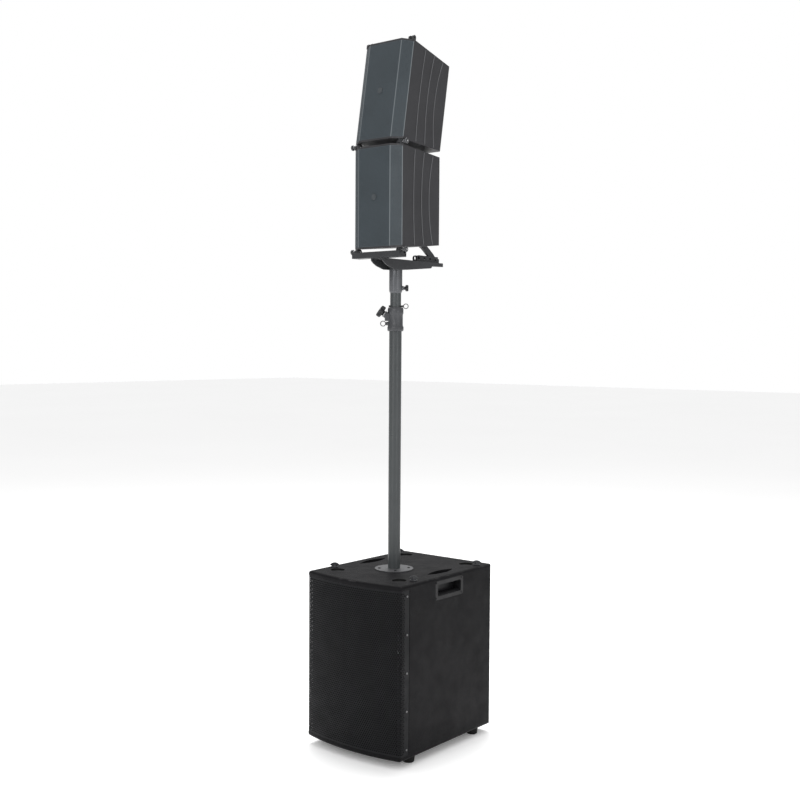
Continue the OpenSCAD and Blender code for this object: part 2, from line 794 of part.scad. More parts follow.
module box_cabinet() {
  difference() {
    union() {
      box_solid(0, 0);
      side_ribs();
    }
    intersection() {
      translate([-box_hw - 2, -1, 0]) cube([2 * box_hw + 4, facet_d + 1, box_h]);
      side_plate(-box_hw - 2, box_hw + 2) box_side(cap);
    }
    intersection() {
      translate([9 - box_hw, 0, 0]) cube([2 * box_hw - 18, baffle2_y, box_h]);
      side_plate(-box_hw, box_hw) box_side(cap);
    }
    intersection() {
      translate([9 - box_hw, baffle2_y + 12, 0])
        cube([2 * box_hw - 18, box_d - baffle2_y - 21, box_h]);
      side_plate(-box_hw, box_hw) box_side(9);
    }
    translate([0, 0, woofer2_z]) facing_back() cylinder(d = 144, h = 60);
    translate([-58, 0, horn_z - 42]) cube([116, 60, 84]);
    translate([0, box_d - 10, 160]) facing_back() linear_extrude(20) round_rect(90, 70, 6);
    lug_pads();
  }
}

module box_grille() {
  intersection() {
    difference() {
      linear_extrude(box_h) box_plan(0);
      translate([0, 0, -1]) linear_extrude(box_h + 2) box_plan(1.3);
    }
    translate([-box_hw, -1, 0]) cube([2 * box_hw, facet_d + 0.8, box_h]);
    side_plate(-box_hw - 1, box_hw + 1) box_side(cap + 0.4);
  }
}

module box_badge() {
  translate([0, -1.6, box_h / 2]) facing_back() difference() {
    cylinder(d = 19, h = 1.6);
    translate([0, 0, -1]) rotate_extrude() translate([5.5, 0]) square([1, 1.5]);
  }
}

module box_driver() {
  translate([0, baffle2_y, woofer2_z]) facing_back() difference() {
    rotate_extrude($fn = 72) polygon([
      [68, -4], [82, -4], [82, 0], [71, 0], [69, 6], [44, 46], [44, 50], [46, 50], [46, 76],
      [0, 76], [0, 66], [16, 66], [16, 44], [40, 44], [66, 4]
    ]);
    for (i = [0 : 3]) rotate(i * 90 + 45) translate([56, 0, 10]) cylinder(r = 12, h = 30);
  }
}

module box_cone() {
  translate([0, baffle2_y - 3, woofer2_z]) facing_back() rotate_extrude($fn = 72) polygon([
    [0, 16], [12, 18], [20, 24], [59.5, 4], [65.4, -2], [66.4, 0], [60.5, 6], [20, 28], [15, 30],
    [15, 44], [13.8, 44], [13.8, 28], [10, 20.5], [0, 18.5]
  ]);
}

// Rectangular horn on its flange with the compression driver behind
module box_horn() {
  translate([0, baffle2_y, horn_z]) {
    difference() {
      union() {
        translate([-66, -3, -50]) cube([132, 3, 100]);
        hull() {
          translate([-57, 0, -41]) cube([114, 1, 82]);
          translate([-17, 50, -17]) cube([34, 1, 34]);
        }
      }
      hull() {
        translate([-54, -4, -38]) cube([108, 1, 76]);
        translate([-13, 51, -13]) cube([26, 1, 26]);
      }
    }
    translate([0, 51, 0]) facing_back() cylinder(r = 40, h = 45);
  }
}

// Pin eyes above and below the front, and the two link brackets behind
module box_rigging(top_pin) {
  hole_r = pin_r + fit;
  difference() {
    union() {
      intersection() {
        box_solid(0, 0);
        lug_pads();
      }
      for (s = [-1, 1]) {
        side_plate(s * 85.5 - 3.5, s * 85.5 + 3.5) eye(-eye_drop, 4);
        for (x = [78.5, 92.5])
          side_plate(s * x - 2.5, s * x + 2.5) eye(box_h + eye_drop, box_h - 4);
      }
    }
    for (z = [-eye_drop, box_h + eye_drop])
      translate([-box_hw - 1, eye_y, z]) rotate([0, 90, 0])
        cylinder(r = hole_r, h = 2 * box_hw + 2);
  }
  translate([-18, box_d, link_low - 3]) cube([36, sheet, 46]);
  translate([-18, box_d, link_high - 20]) cube([36, sheet, 34]);
  for (s = [-1, 1], z = [link_low, link_high])
    side_plate(s > 0 ? cheek_in : -cheek_in - cheek_t, s > 0 ? cheek_in + cheek_t : -cheek_in)
      difference() {
        union() {
          translate([link_y, z]) circle(8.5);
          translate([box_d, z - 3]) square([link_y - box_d, 11.5]);
        }
        translate([link_y, z]) circle(link_pin_r + fit);
      }
  for (z = top_pin ? [link_low, link_high] : [link_low])
    translate([-12, link_y, z]) rotate([0, 90, 0]) cylinder(r = link_pin_r + fit, h = 24);
}

// Round eye at height zc that joins the box at height zb
module eye(zc, zb) {
  translate([eye_y, zc]) circle(eye_r);
  translate([eye_y - eye_r, min(zc, zb)]) square([2 * eye_r, abs(zc - zb)]);
}

module box_socket_panel() {
  translate([0, box_d - 12, 160]) facing_back() difference() {
    union() {
      linear_extrude(12) round_rect(89.4, 69.4, 5.7);
      for (x = [-20, 20]) translate([x, 0, -10]) cylinder(r = 13, h = 11);
    }
    translate([0, 0, 3]) linear_extrude(12) round_rect(83, 63, 3);
    for (x = [-20, 20]) translate([x, 0, -8]) cylinder(r = 11, h = 14);
  }
}

module lower_cabinet() color(top_grey) at_lower() box_cabinet();

module lower_grille() color(top_grey) at_lower() box_grille();

module lower_badge() color(zinc) at_lower() box_badge();

module lower_driver() color(steel_paint) at_lower() box_driver();

module lower_cone() color(cloth_black) at_lower() box_cone();

module lower_horn() color(cloth_black) at_lower() box_horn();

module lower_rigging() color(steel_paint) at_lower() box_rigging(true);

module lower_socket_panel() color(cloth_black) at_lower() box_socket_panel();

module upper_cabinet() color(top_grey) at_upper() box_cabinet();

module upper_grille() color(top_grey) at_upper() box_grille();

module upper_badge() color(zinc) at_upper() box_badge();

module upper_driver() color(steel_paint) at_upper() box_driver();

module upper_cone() color(cloth_black) at_upper() box_cone();

module upper_horn() color(cloth_black) at_upper() box_horn();

module upper_rigging() color(steel_paint) at_upper() box_rigging(false);

module upper_socket_panel() color(cloth_black) at_upper() box_socket_panel();

sub_cabinet();
sub_baffle();
sub_grille();
grille_screws();
woofer_frame();
woofer_surround();
woofer_cone();
woofer_magnet();
woofer_screws();
bass_ports();
handles();
body_screws();
stack_cups();
latch_front_left();
latch_front_right();
latch_rear_left();
latch_rear_right();
rubber_feet();
pole_plate();
amp_plate();
heat_sink();
mains_inlet();
signal_sockets();
power_switch();
sub_level_knob();
tops_level_knob();
amp_board();
pole_lower_tube();
pole_collar();
collar_knob();
collar_plunger();
pole_upper_tube();
safety_pin();
bracket_sleeve();
bracket_beam();
bracket_knob();
front_bar();
tilt_plates();
lower_pin_left();
lower_pin_right();
lower_strut();
lower_cabinet();
lower_grille();
lower_badge();
lower_driver();
lower_cone();
lower_horn();
lower_rigging();
lower_socket_panel();
upper_pin_left();
upper_pin_right();
upper_strut();
upper_cabinet();
upper_grille();
upper_badge();
upper_driver();
upper_cone();
upper_horn();
upper_rigging();
upper_socket_panel();
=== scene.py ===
# %% [markdown]
# # A column speaker for small stages
#
# The machined model holds every part of this speaker at its real size: a powered bass box, a mast
# with a clamp collar, a folded bracket and two slim top boxes that hinge on quick-release pins.
# This lesson gives those parts their finish, and makes the pieces that a solid modeller is poor at:
# perforated steel, moulded knobs, foam, lacquer, spatter paint and printed scales.

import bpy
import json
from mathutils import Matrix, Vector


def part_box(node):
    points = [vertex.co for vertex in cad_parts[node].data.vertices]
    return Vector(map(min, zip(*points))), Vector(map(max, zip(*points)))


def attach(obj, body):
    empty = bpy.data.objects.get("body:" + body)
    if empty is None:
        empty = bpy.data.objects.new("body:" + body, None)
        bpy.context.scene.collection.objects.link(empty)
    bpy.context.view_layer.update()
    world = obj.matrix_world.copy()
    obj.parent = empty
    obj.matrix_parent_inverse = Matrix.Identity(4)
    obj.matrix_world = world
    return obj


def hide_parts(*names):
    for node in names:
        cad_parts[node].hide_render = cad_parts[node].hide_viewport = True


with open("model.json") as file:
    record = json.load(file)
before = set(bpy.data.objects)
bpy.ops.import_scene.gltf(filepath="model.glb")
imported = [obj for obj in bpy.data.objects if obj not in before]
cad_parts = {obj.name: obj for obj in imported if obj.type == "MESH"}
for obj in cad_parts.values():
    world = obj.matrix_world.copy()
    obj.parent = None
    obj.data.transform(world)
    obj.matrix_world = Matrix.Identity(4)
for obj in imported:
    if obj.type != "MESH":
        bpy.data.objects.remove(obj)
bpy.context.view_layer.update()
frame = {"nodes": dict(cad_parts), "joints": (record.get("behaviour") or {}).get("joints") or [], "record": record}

import json
import math

import bpy
import numpy as np
from mathutils import Matrix

node = frame["nodes"]
joint = {j["name"]: j for j in frame["joints"]}
MM = 0.001


# %% [markdown]
# ## Where things are
#
# New pieces take their places from the frame: the box of a part, or the place and axis of a joint.
# The upper box leans back, so its new pieces are drawn on an upright box and then turned. The axis
# along which its cone moves says how far it leans.

# %% measured places
def span(name):
    """The lowest and highest corner of a part, as two arrays."""
    low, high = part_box(name)
    return np.array(low), np.array(high)


sub_low, sub_high = span("sub_cabinet")
grille_low, grille_high = span("sub_grille")
PLATE_Y = span("amp_plate")[1][1]
cone_axis = joint["upper_cone_travel"]["axis"]
LEAN = math.atan2(-cone_axis[2], cone_axis[1])
HINGE_LOW = np.array(joint["lower_tilt"]["pos_m"])
HINGE_HIGH = np.array(joint["upper_tilt"]["pos_m"])
print("lean of the upper box:", round(math.degrees(LEAN), 2), "degrees")


# %% [markdown]
# ## Meshes from arrays
#
# Every new piece is a surface computed as one array of points and one list of faces. It could be
# built with Blender's own primitives and edit tools, but arrays keep each shape a formula. Small
# helpers do the common work: one puts points and faces into a mesh, one lists the faces of a grid
# of points, one turns a profile round an axis, as a lathe does, and two set a shape on an axis.

# %% mesh helpers
def add_piece(name, points, faces, body, material, smooth=True):
    """Puts points and faces into a mesh object that rides on a body."""
    mesh = bpy.data.meshes.new(name)
    mesh.from_pydata(np.asarray(points, float).reshape(-1, 3).tolist(), [], faces)
    mesh.update()
    mesh.polygons.foreach_set("use_smooth", np.full(len(mesh.polygons), smooth))
    obj = bpy.data.objects.new(name, mesh)
    bpy.context.scene.collection.objects.link(obj)
    mesh.materials.append(material)
    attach(obj, body)
    return obj


def grid_faces(rows, cols, wrap_rows=False, wrap_cols=False, start=0):
    """Quads over a rows by cols grid of points, joined end to end where a direction wraps."""
    r = np.arange(rows if wrap_rows else rows - 1)
    c = np.arange(cols if wrap_cols else cols - 1)
    i, j = [a.ravel() for a in np.meshgrid(r, c, indexing="ij")]
    ni, nj = (i + 1) % rows, (j + 1) % cols
    quads = np.stack([i * cols + j, i * cols + nj, ni * cols + nj, ni * cols + j], axis=1)
    return (quads + start).tolist()


def lathe(profile, count, radius_at=None):
    """Turns a profile of (radius, height) pairs round Z and closes both poles with one point each.

    The radius may be changed with the angle: radius_at(angle, radius, height) gives the new one.
    """
    prof = np.asarray(profile, float)
    turn = np.linspace(0, 2 * np.pi, count, endpoint=False)
    angle, radius = np.meshgrid(turn, prof[1:-1, 0], indexing="xy")
    height = np.repeat(prof[1:-1, 1][:, None], count, axis=1)
    if radius_at is not None:
        radius = radius_at(angle, radius, height)
    ring = np.stack([radius * np.cos(angle), radius * np.sin(angle), height], axis=-1)
    points = np.concatenate([ring.reshape(-1, 3), [[0, 0, prof[0, 1]], [0, 0, prof[-1, 1]]]])
    rows = len(prof) - 2
    faces = grid_faces(rows, count, wrap_cols=True)
    near, far = rows * count, rows * count + 1
    last = (rows - 1) * count
    faces += [[near, (k + 1) % count, k] for k in range(count)]
    faces += [[far, last + k, last + (k + 1) % count] for k in range(count)]
    return points, faces


def axes_from(direction):
    """A 3 by 3 turn whose third column is the given direction."""
    w = np.asarray(direction, float)
    w = w / np.linalg.norm(w)
    helper = np.array([0, 0, 1.0]) if abs(w[2]) < 0.9 else np.array([1.0, 0, 0])
    u = np.cross(helper, w)
    u = u / np.linalg.norm(u)
    return np.stack([u, np.cross(w, u), w], axis=1)


def place(points, origin, direction=(0, 0, 1)):
    """Turns points so that their Z lies along a direction, and moves them to an origin."""
    return np.asarray(points) @ axes_from(direction).T + np.asarray(origin, float)


print("helpers ready")


# %% [markdown]
# ## Finishes
#
# A finish is a small tree of nodes: a base colour that drifts a little from place to place, a
# roughness that is never quite even, and a bump at the scale of the real surface. They all read
# Object coordinates, so one metre in the pattern is one metre on the speaker. One builder makes the
# tree, and each finish below says only its own colours and grain sizes.

# %% the finish builder
def link(tree, out_node, out_name, in_node, in_name):
    """Joins one node's output to another's input."""
    tree.links.new(out_node.outputs[out_name], in_node.inputs[in_name])


def noise(tree, where, size, detail=3.0, rough=0.55):
    """Soft noise whose lumps are about the given size in metres."""
    tex = tree.nodes.new("ShaderNodeTexNoise")
    tex.inputs["Scale"].default_value = 1.0 / size
    tex.inputs["Detail"].default_value = detail
    tex.inputs["Roughness"].default_value = rough
    link(tree, where, "Object", tex, "Vector")
    return tex


def ramp(tree, source, out_name, low, high):
    """Maps a value between two stops to a colour or a grey between two ends."""
    node_ramp = tree.nodes.new("ShaderNodeValToRGB")
    stops = node_ramp.color_ramp.elements
    stops[0].position, stops[0].color = low
    stops[1].position, stops[1].color = high
    link(tree, source, out_name, node_ramp, "Fac")
    return node_ramp


def grey(v):
    """A value as an opaque grey."""
    return (v, v, v, 1.0)


def tint(colour, factor):
    """A colour made lighter or darker by a factor."""
    return (colour[0] * factor, colour[1] * factor, colour[2] * factor, 1.0)


def bump(tree, height, out_name, distance, strength, under=None):
    """Raises the surface by a height map, on top of an earlier bump if there is one."""
    node_bump = tree.nodes.new("ShaderNodeBump")
    node_bump.inputs["Distance"].default_value = distance
    node_bump.inputs["Strength"].default_value = strength
    link(tree, height, out_name, node_bump, "Height")
    if under is not None:
        link(tree, under, "Normal", node_bump, "Normal")
    return node_bump


# A colour Mix node also holds sockets for numbers and vectors, so its colour ones go by number.
MIX_A, MIX_B, MIX_OUT = 6, 7, 2


def mixed(tree, mask, under, colour):
    """A colour laid over another, where the mask is 1; gives the mixed colour's socket."""
    mix = tree.nodes.new("ShaderNodeMix")
    mix.data_type = "RGBA"
    tree.links.new(mask, mix.inputs["Factor"])
    tree.links.new(under, mix.inputs[MIX_A])
    mix.inputs[MIX_B].default_value = colour
    return mix.outputs[MIX_OUT]


def over_base(mat, mask, colour):
    """Mixes a colour over whatever feeds the base colour, where the mask is 1."""
    base = mat.node_tree.nodes["Principled BSDF"].inputs["Base Color"]
    mat.node_tree.links.new(mixed(mat.node_tree, mask, base.links[0].from_socket, colour), base)
    return mat


def own_coordinates(tree):
    """The material's Object coordinates, which its finish already reads."""
    return next(n for n in tree.nodes if n.type == "TEX_COORD")


# where soft noise starts and ends its change, how soft a speck's rim is, how much finer the
# roughness varies than the colour, and how rough a clear coat is
NOISE_FROM, NOISE_TO, SPECK_RIM, FINER, COAT_ROUGH = 0.3, 0.7, 0.06, 0.35, 0.25


def finish_of(name, colour, rough, grain, metal=0.0, drift=0.25, drift_size=0.12, coat=0.0,
              specks=None, specular=0.5):
    """A procedural finish.

    colour drifts by plus or minus drift over lumps of drift_size, rough is a (low, high) pair,
    grain is (size, depth, strength) of the fine bump, and specks is (size, share, factor) of
    lighter or darker dots.
    """
    mat = bpy.data.materials.new(name)
    mat.use_nodes = True
    tree = mat.node_tree
    shader = tree.nodes["Principled BSDF"]
    shader.inputs["Metallic"].default_value = metal
    shader.inputs["Specular IOR Level"].default_value = specular
    shader.inputs["Coat Weight"].default_value = coat
    shader.inputs["Coat Roughness"].default_value = COAT_ROUGH
    where = tree.nodes.new("ShaderNodeTexCoord")
    lumps = noise(tree, where, drift_size, detail=4.0)
    base = ramp(tree, lumps, "Fac", (NOISE_FROM, tint(colour, 1 - drift)),
                (NOISE_TO, tint(colour, 1 + drift)))
    link(tree, base, "Color", shader, "Base Color")
    if specks is not None:
        size, share, factor = specks
        dots = noise(tree, where, size, detail=1.0)
        mask = ramp(tree, dots, "Fac", (share, grey(0.0)), (share + SPECK_RIM, grey(1.0)))
        over_base(mat, mask.outputs["Color"], tint(colour, factor))
    wear = noise(tree, where, drift_size * FINER, detail=5.0)
    dull = ramp(tree, wear, "Fac", (NOISE_FROM, grey(rough[0])), (NOISE_TO, grey(rough[1])))
    link(tree, dull, "Color", shader, "Roughness")
    size, depth, strength = grain
    raised = bump(tree, noise(tree, where, size, detail=2.0), "Fac", depth, strength)
    link(tree, raised, "Normal", shader, "Normal")
    return mat


print("finish builder ready")


# %% [markdown]
# ## The finishes of this speaker
#
# The bass box wears sprayed textured paint, which dries in small hard drops. There are far too many
# to model, so a fine grain under a layer of round cell bumps stands in for them, over a near-black
# base. Steel parts are powder coated, which leaves a faint orange peel. The tops are fine-grained
# mouldings with a slate blue-grey grille. Zinc, rubber, foam and coated paper each get their own
# roughness and grain.

# %% make the finishes
def cell_bump(mat, size, depth, strength):
    """Adds round drops: the distance to the nearest cell centre, raised on top of the old bump."""
    tree = mat.node_tree
    shader = tree.nodes["Principled BSDF"]
    old = shader.inputs["Normal"].links[0].from_node
    where = own_coordinates(tree)
    cells = tree.nodes.new("ShaderNodeTexVoronoi")
    cells.inputs["Scale"].default_value = 1.0 / size
    link(tree, where, "Object", cells, "Vector")
    domes = ramp(tree, cells, "Distance", (0.05, grey(1.0)), (0.75, grey(0.0)))
    drops = bump(tree, domes, "Color", depth, strength, under=old)
    link(tree, drops, "Normal", shader, "Normal")
    return mat


spatter_paint = cell_bump(
    finish_of("sprayed_texture_paint", (0.005, 0.0048, 0.0056), (0.42, 0.58),
              (0.0022, 0.0004, 0.5), drift=0.22, specks=(0.0011, 0.66, 2.0), specular=0.08),
    0.0017, 0.0005, 0.55)
bass_grille_coat = finish_of("bass_grille_powder_coat", (0.0055, 0.0058, 0.0068), (0.46, 0.6),
                             (0.0007, 0.0001, 0.3), drift=0.2, specular=0.16)
slate_grille_coat = finish_of("slate_grille_powder_coat", (0.048, 0.06, 0.069), (0.36, 0.48),
                              (0.0006, 0.0001, 0.3), drift=0.07, specular=0.35)
slate_moulding = cell_bump(
    finish_of("slate_grained_moulding", (0.031, 0.031, 0.034), (0.42, 0.56),
              (0.0012, 0.0002, 0.35), drift=0.12, specular=0.35),
    0.0009, 0.00015, 0.35)
bracket_coat = finish_of("bracket_powder_coat", (0.032, 0.033, 0.036), (0.32, 0.46),
                         (0.0009, 0.00015, 0.4), drift=0.14, specks=(0.02, 0.74, 1.35),
                         specular=0.4)
mast_coat = finish_of("mast_powder_coat", (0.047, 0.052, 0.054), (0.26, 0.4),
                      (0.0008, 0.0001, 0.3), drift=0.1, coat=0.1, specular=0.4)
collar_coat = finish_of("collar_cast_paint", (0.05, 0.052, 0.057), (0.3, 0.44),
                        (0.0014, 0.0003, 0.4), drift=0.15, specular=0.45)
sleeve_coat = finish_of("sleeve_satin_coat", (0.085, 0.088, 0.095), (0.22, 0.34),
                        (0.001, 0.0001, 0.3), metal=0.35, drift=0.1)
star_plastic = finish_of("knob_glass_filled_plastic", (0.014, 0.0145, 0.016), (0.36, 0.5),
                         (0.0008, 0.0002, 0.4), drift=0.2, specular=0.4)
black_moulding = cell_bump(
    finish_of("black_grained_moulding", (0.01, 0.01, 0.011), (0.42, 0.56), (0.001, 0.0002, 0.3),
              drift=0.15, specular=0.3),
    0.0008, 0.00015, 0.3)
hand_hold_plastic = finish_of("hand_hold_plastic", (0.01, 0.01, 0.011), (0.38, 0.52),
                              (0.0012, 0.0002, 0.35), drift=0.15, specular=0.25)
foot_rubber = finish_of("foot_rubber", (0.009, 0.009, 0.009), (0.7, 0.85), (0.0006, 0.0001, 0.3),
                        drift=0.3, specks=(0.004, 0.7, 1.8), specular=0.2)
bright_zinc = finish_of("bright_zinc", (0.42, 0.42, 0.43), (0.22, 0.4), (0.0006, 0.0001, 0.25),
                        metal=1.0, drift=0.12, drift_size=0.01)
dull_zinc = finish_of("dull_zinc", (0.2, 0.2, 0.205), (0.3, 0.46), (0.0008, 0.0001, 0.3),
                      metal=0.9, drift=0.2, drift_size=0.008)
black_zinc = finish_of("black_zinc", (0.03, 0.03, 0.031), (0.28, 0.42), (0.0006, 0.0001, 0.3),
                       metal=0.6, drift=0.2, drift_size=0.006)
cast_plate_finish = finish_of("cast_plate_satin", (0.11, 0.11, 0.115), (0.35, 0.5),
                              (0.0012, 0.0002, 0.4), metal=0.5, drift=0.12, drift_size=0.03,
                              specular=0.3)
coated_paper = finish_of("coated_paper", (0.022, 0.022, 0.023), (0.6, 0.8), (0.0009, 0.0004, 0.6),
                         drift=0.25, drift_size=0.02, specular=0.3)
soft_foam = finish_of("open_cell_foam", (0.0025, 0.0025, 0.003), (0.9, 1.0),
                      (0.0012, 0.001, 1.0), drift=0.3, drift_size=0.004, specular=0.04)
board_lacquer = finish_of("board_lacquer", (0.012, 0.08, 0.035), (0.3, 0.45),
                          (0.0015, 0.0001, 0.3), specks=(0.004, 0.62, 1.6))
grey_cap = finish_of("grey_knob_plastic", (0.14, 0.145, 0.15), (0.35, 0.5), (0.0007, 0.0001, 0.3),
                     drift=0.1, drift_size=0.02)
raw_ply = finish_of("painted_baffle", (0.012, 0.012, 0.013), (0.6, 0.8), (0.003, 0.0003, 0.4),
                    drift=0.2)
white_print = finish_of("screen_print", (0.42, 0.42, 0.42), (0.5, 0.65), (0.0005, 0.00005, 0.2),
                        drift=0.08, drift_size=0.01)
slate_backing = finish_of("grille_backing_cloth", (0.028, 0.034, 0.039), (0.85, 0.95),
                          (0.0008, 0.0002, 0.5), drift=0.12, drift_size=0.004, specular=0.15)
badge_satin = finish_of("badge_satin", (0.075, 0.085, 0.092), (0.3, 0.42),
                        (0.0004, 0.00005, 0.3), metal=0.4, drift=0.08, drift_size=0.006)
pin_head_metal = finish_of("pin_head_dark_chrome", (0.09, 0.092, 0.096), (0.16, 0.28),
                           (0.0004, 0.00005, 0.2), metal=0.9, drift=0.15, drift_size=0.006)
contact_metal = finish_of("contact_metal", (0.62, 0.5, 0.28), (0.25, 0.35), (0.0004, 0.00005, 0.2),
                          metal=1.0, drift=0.08, drift_size=0.004)
green_lens = finish_of("lamp_green", (0.02, 0.2, 0.05), (0.1, 0.18), (0.0006, 0.00005, 0.2),
                       drift=0.1, drift_size=0.003, coat=0.5)
amber_lens = finish_of("lamp_amber", (0.3, 0.13, 0.01), (0.1, 0.18), (0.0006, 0.00005, 0.2),
                       drift=0.1, drift_size=0.003, coat=0.5)
red_lens = finish_of("lamp_red", (0.25, 0.015, 0.012), (0.1, 0.18), (0.0006, 0.00005, 0.2),
                     drift=0.1, drift_size=0.003, coat=0.5)
studio_floor = finish_of("studio_floor", (0.96, 0.96, 0.96), (0.85, 0.95), (0.01, 0.0001, 0.1),
                         drift=0.01, drift_size=2.0, specular=0.2)
print("finishes:", len(bpy.data.materials))


# %% [markdown]
# ### Worn edges, ribs and folds, and painted highlights on them
#
# Paint is thinnest on an edge and hands rub it there, and a rounded edge catches light. The lighter
# band along the bass box's edges is both worn paint and a painted highlight. It could be painted by
# hand on a texture, but a formula has no seams and no image. A box's edges lie where two of its three
# faces are near at once: each axis gives a closeness from 0 to 1, and the second largest of the three
# is high only along an edge. Noise breaks the band up, because real wear comes in patches. The tops'
# ribs get a painted highlight along their crests, which stand furthest out sideways. Their grilles get
# painted highlight lines along the folds and the ends, which lie at one distance either side of the
# middle.

# %% edge wear and painted edge highlights from coordinates
def calc(tree, operation, first, second=None):
    """One arithmetic node; a value may be a number or another node's output."""
    node_math = tree.nodes.new("ShaderNodeMath")
    node_math.operation = operation
    for slot_number, value in enumerate((first, second)):
        if value is None:
            continue
        if isinstance(value, (int, float)):
            node_math.inputs[slot_number].default_value = value
        else:
            tree.links.new(value, node_math.inputs[slot_number])
    return node_math.outputs["Value"]


PATCH_SIZE, PATCH_RIM = 0.02, 0.12


def wear_and_highlight_edges(mat, centre, half, width, colour, share=0.5):
    """Paints lighter patches along the edges of a box, from its centre and half its size: worn paint, and also a
    painted highlight where a rounded edge catches light.
    """
    tree = mat.node_tree
    where = own_coordinates(tree)
    shift = tree.nodes.new("ShaderNodeMapping")
    shift.inputs["Location"].default_value = tuple(-centre)
    link(tree, where, "Object", shift, "Vector")
    split = tree.nodes.new("ShaderNodeSeparateXYZ")
    link(tree, shift, "Vector", split, "Vector")
    near = []
    for axis, reach in zip("XYZ", half):
        past = calc(tree, "SUBTRACT", calc(tree, "ABSOLUTE", split.outputs[axis]), reach - width)
        share_in = calc(tree, "DIVIDE", past, width)
        near.append(calc(tree, "MAXIMUM", calc(tree, "MINIMUM", share_in, 1.0), 0.0))
    pairs = [calc(tree, "MINIMUM", near[a], near[b]) for a, b in ((0, 1), (1, 2), (0, 2))]
    edge = calc(tree, "MAXIMUM", calc(tree, "MAXIMUM", pairs[0], pairs[1]), pairs[2])
    patches = noise(tree, where, PATCH_SIZE, detail=6.0, rough=0.7)
    broken = ramp(tree, patches, "Fac", (share, grey(0.0)), (share + PATCH_RIM, grey(1.0)))
    return over_base(mat, calc(tree, "MULTIPLY", edge, broken.outputs["Color"]), colour)


sub_centre = 0.5 * (sub_low + sub_high)
# The bass box's lighter edges: worn paint in patches, and a painted highlight along its rounded edges.
wear_and_highlight_edges(spatter_paint, sub_centre, 0.5 * (sub_high - sub_low), 6 * MM,
           (0.055, 0.054, 0.056, 1.0))
print("worn edges round", [round(float(v), 3) for v in sub_centre])


# %% painted highlights on the crests of the tops' side ribs
RIB_CREST, CREST_FADE = 97.15 * MM, 0.4 * MM


def past_reach(tree, where, reach):
    """How far a point lies beyond a reach sideways, on either side of the middle."""
    split = tree.nodes.new("ShaderNodeSeparateXYZ")
    link(tree, where, "Object", split, "Vector")
    return calc(tree, "SUBTRACT", calc(tree, "ABSOLUTE", split.outputs["X"]), reach)


def highlight_beyond(mat, reach, colour):
    """Paints a highlight by lightening whatever stands further out sideways than a reach, such as a raised rib's
    crest.
    """
    tree = mat.node_tree
    where = own_coordinates(tree)
    out = calc(tree, "DIVIDE", past_reach(tree, where, reach), CREST_FADE)
    crest = calc(tree, "MINIMUM", calc(tree, "MAXIMUM", out, 0.0), 1.0)
    return over_base(mat, crest, colour)


def highlight_line(mat, reach, width, colour):
    """Paints a highlight as a narrow upright line where a sheet is folded or ends, at a reach either side."""
    tree = mat.node_tree
    where = own_coordinates(tree)
    off = calc(tree, "ABSOLUTE", past_reach(tree, where, reach))
    share_off = calc(tree, "DIVIDE", off, width)
    on_line = calc(tree, "MAXIMUM", calc(tree, "SUBTRACT", 1.0, share_off), 0.0)
    return over_base(mat, on_line, colour)


# Painted highlight: the crests of the tops' side ribs are lightened where their edges would catch light.
highlight_beyond(slate_moulding, RIB_CREST, (0.12, 0.122, 0.128, 1.0))
print("ribs rubbed")


# %% [markdown]
# ## Dressing the machined parts
#
# A machined part keeps its shape and only changes its finish. Its sharp edges get a small bevel, as
# a real casting, fold or moulding has, because a highlight along an edge is what makes a part look
# solid. The bevel is a modifier, so the part's own mesh stays as it is.

# %% dress every machined part
WELD_WITHIN = 0.00001
SHARP_TURN = math.radians(35.0)


def dress(name, material, edge=0.0):
    """Gives a machined part its finish and, where edge is over 0, a rounded edge of that width.

    The weld joins the part's loose triangles first, so that the bevel finds its sharp turns.
    """
    obj = node[name]
    obj.data.materials.clear()
    obj.data.materials.append(material)
    if edge > 0:
        weld = obj.modifiers.new("weld", "WELD")
        weld.merge_threshold = WELD_WITHIN
        bevel = obj.modifiers.new("edge", "BEVEL")
        bevel.width = edge
        bevel.segments = 2
        bevel.limit_method = "ANGLE"
        bevel.angle_limit = SHARP_TURN
        bevel.use_clamp_overlap = True
    return obj


# each part's finish and the width of its rounded edges in metres
WEAR = {
    "sub_cabinet": (spatter_paint, 0.0012),
    "sub_baffle": (raw_ply, 0.0),
    "grille_screws": (dull_zinc, 0.0),
    "woofer_frame": (bracket_coat, 0.0),
    "woofer_surround": (foot_rubber, 0.0),
    "woofer_cone": (coated_paper, 0.0),
    "woofer_magnet": (bright_zinc, 0.0),
    "woofer_screws": (bright_zinc, 0.0),
    "bass_ports": (black_moulding, 0.0),
    "handles": (hand_hold_plastic, 0.0008),
    "body_screws": (black_zinc, 0.0),
    "rubber_feet": (foot_rubber, 0.0),
    "stack_cups": (foot_rubber, 0.0),
    "latch_front_left": (bracket_coat, 0.0006),
    "latch_front_right": (bracket_coat, 0.0006),
    "latch_rear_left": (bracket_coat, 0.0006),
    "latch_rear_right": (bracket_coat, 0.0006),
    "pole_plate": (cast_plate_finish, 0.0005),
    "amp_plate": (bracket_coat, 0.0),
    "heat_sink": (black_zinc, 0.0003),
    "mains_inlet": (black_moulding, 0.0003),
    "signal_sockets": (black_moulding, 0.0003),
    "power_switch": (black_moulding, 0.0004),
    "sub_level_knob": (grey_cap, 0.0005),
    "tops_level_knob": (grey_cap, 0.0005),
    "amp_board": (board_lacquer, 0.0),
    "pole_lower_tube": (mast_coat, 0.0),
    "pole_collar": (collar_coat, 0.0008),
    "collar_plunger": (black_zinc, 0.0),
    "pole_upper_tube": (mast_coat, 0.0),
    "safety_pin": (black_zinc, 0.0),
    "bracket_sleeve": (sleeve_coat, 0.0006),
    "bracket_beam": (bracket_coat, 0.0006),
    "front_bar": (bracket_coat, 0.0006),
    "tilt_plates": (bracket_coat, 0.0005),
    "lower_strut": (bracket_coat, 0.0005),
    "upper_strut": (bracket_coat, 0.0005),
}
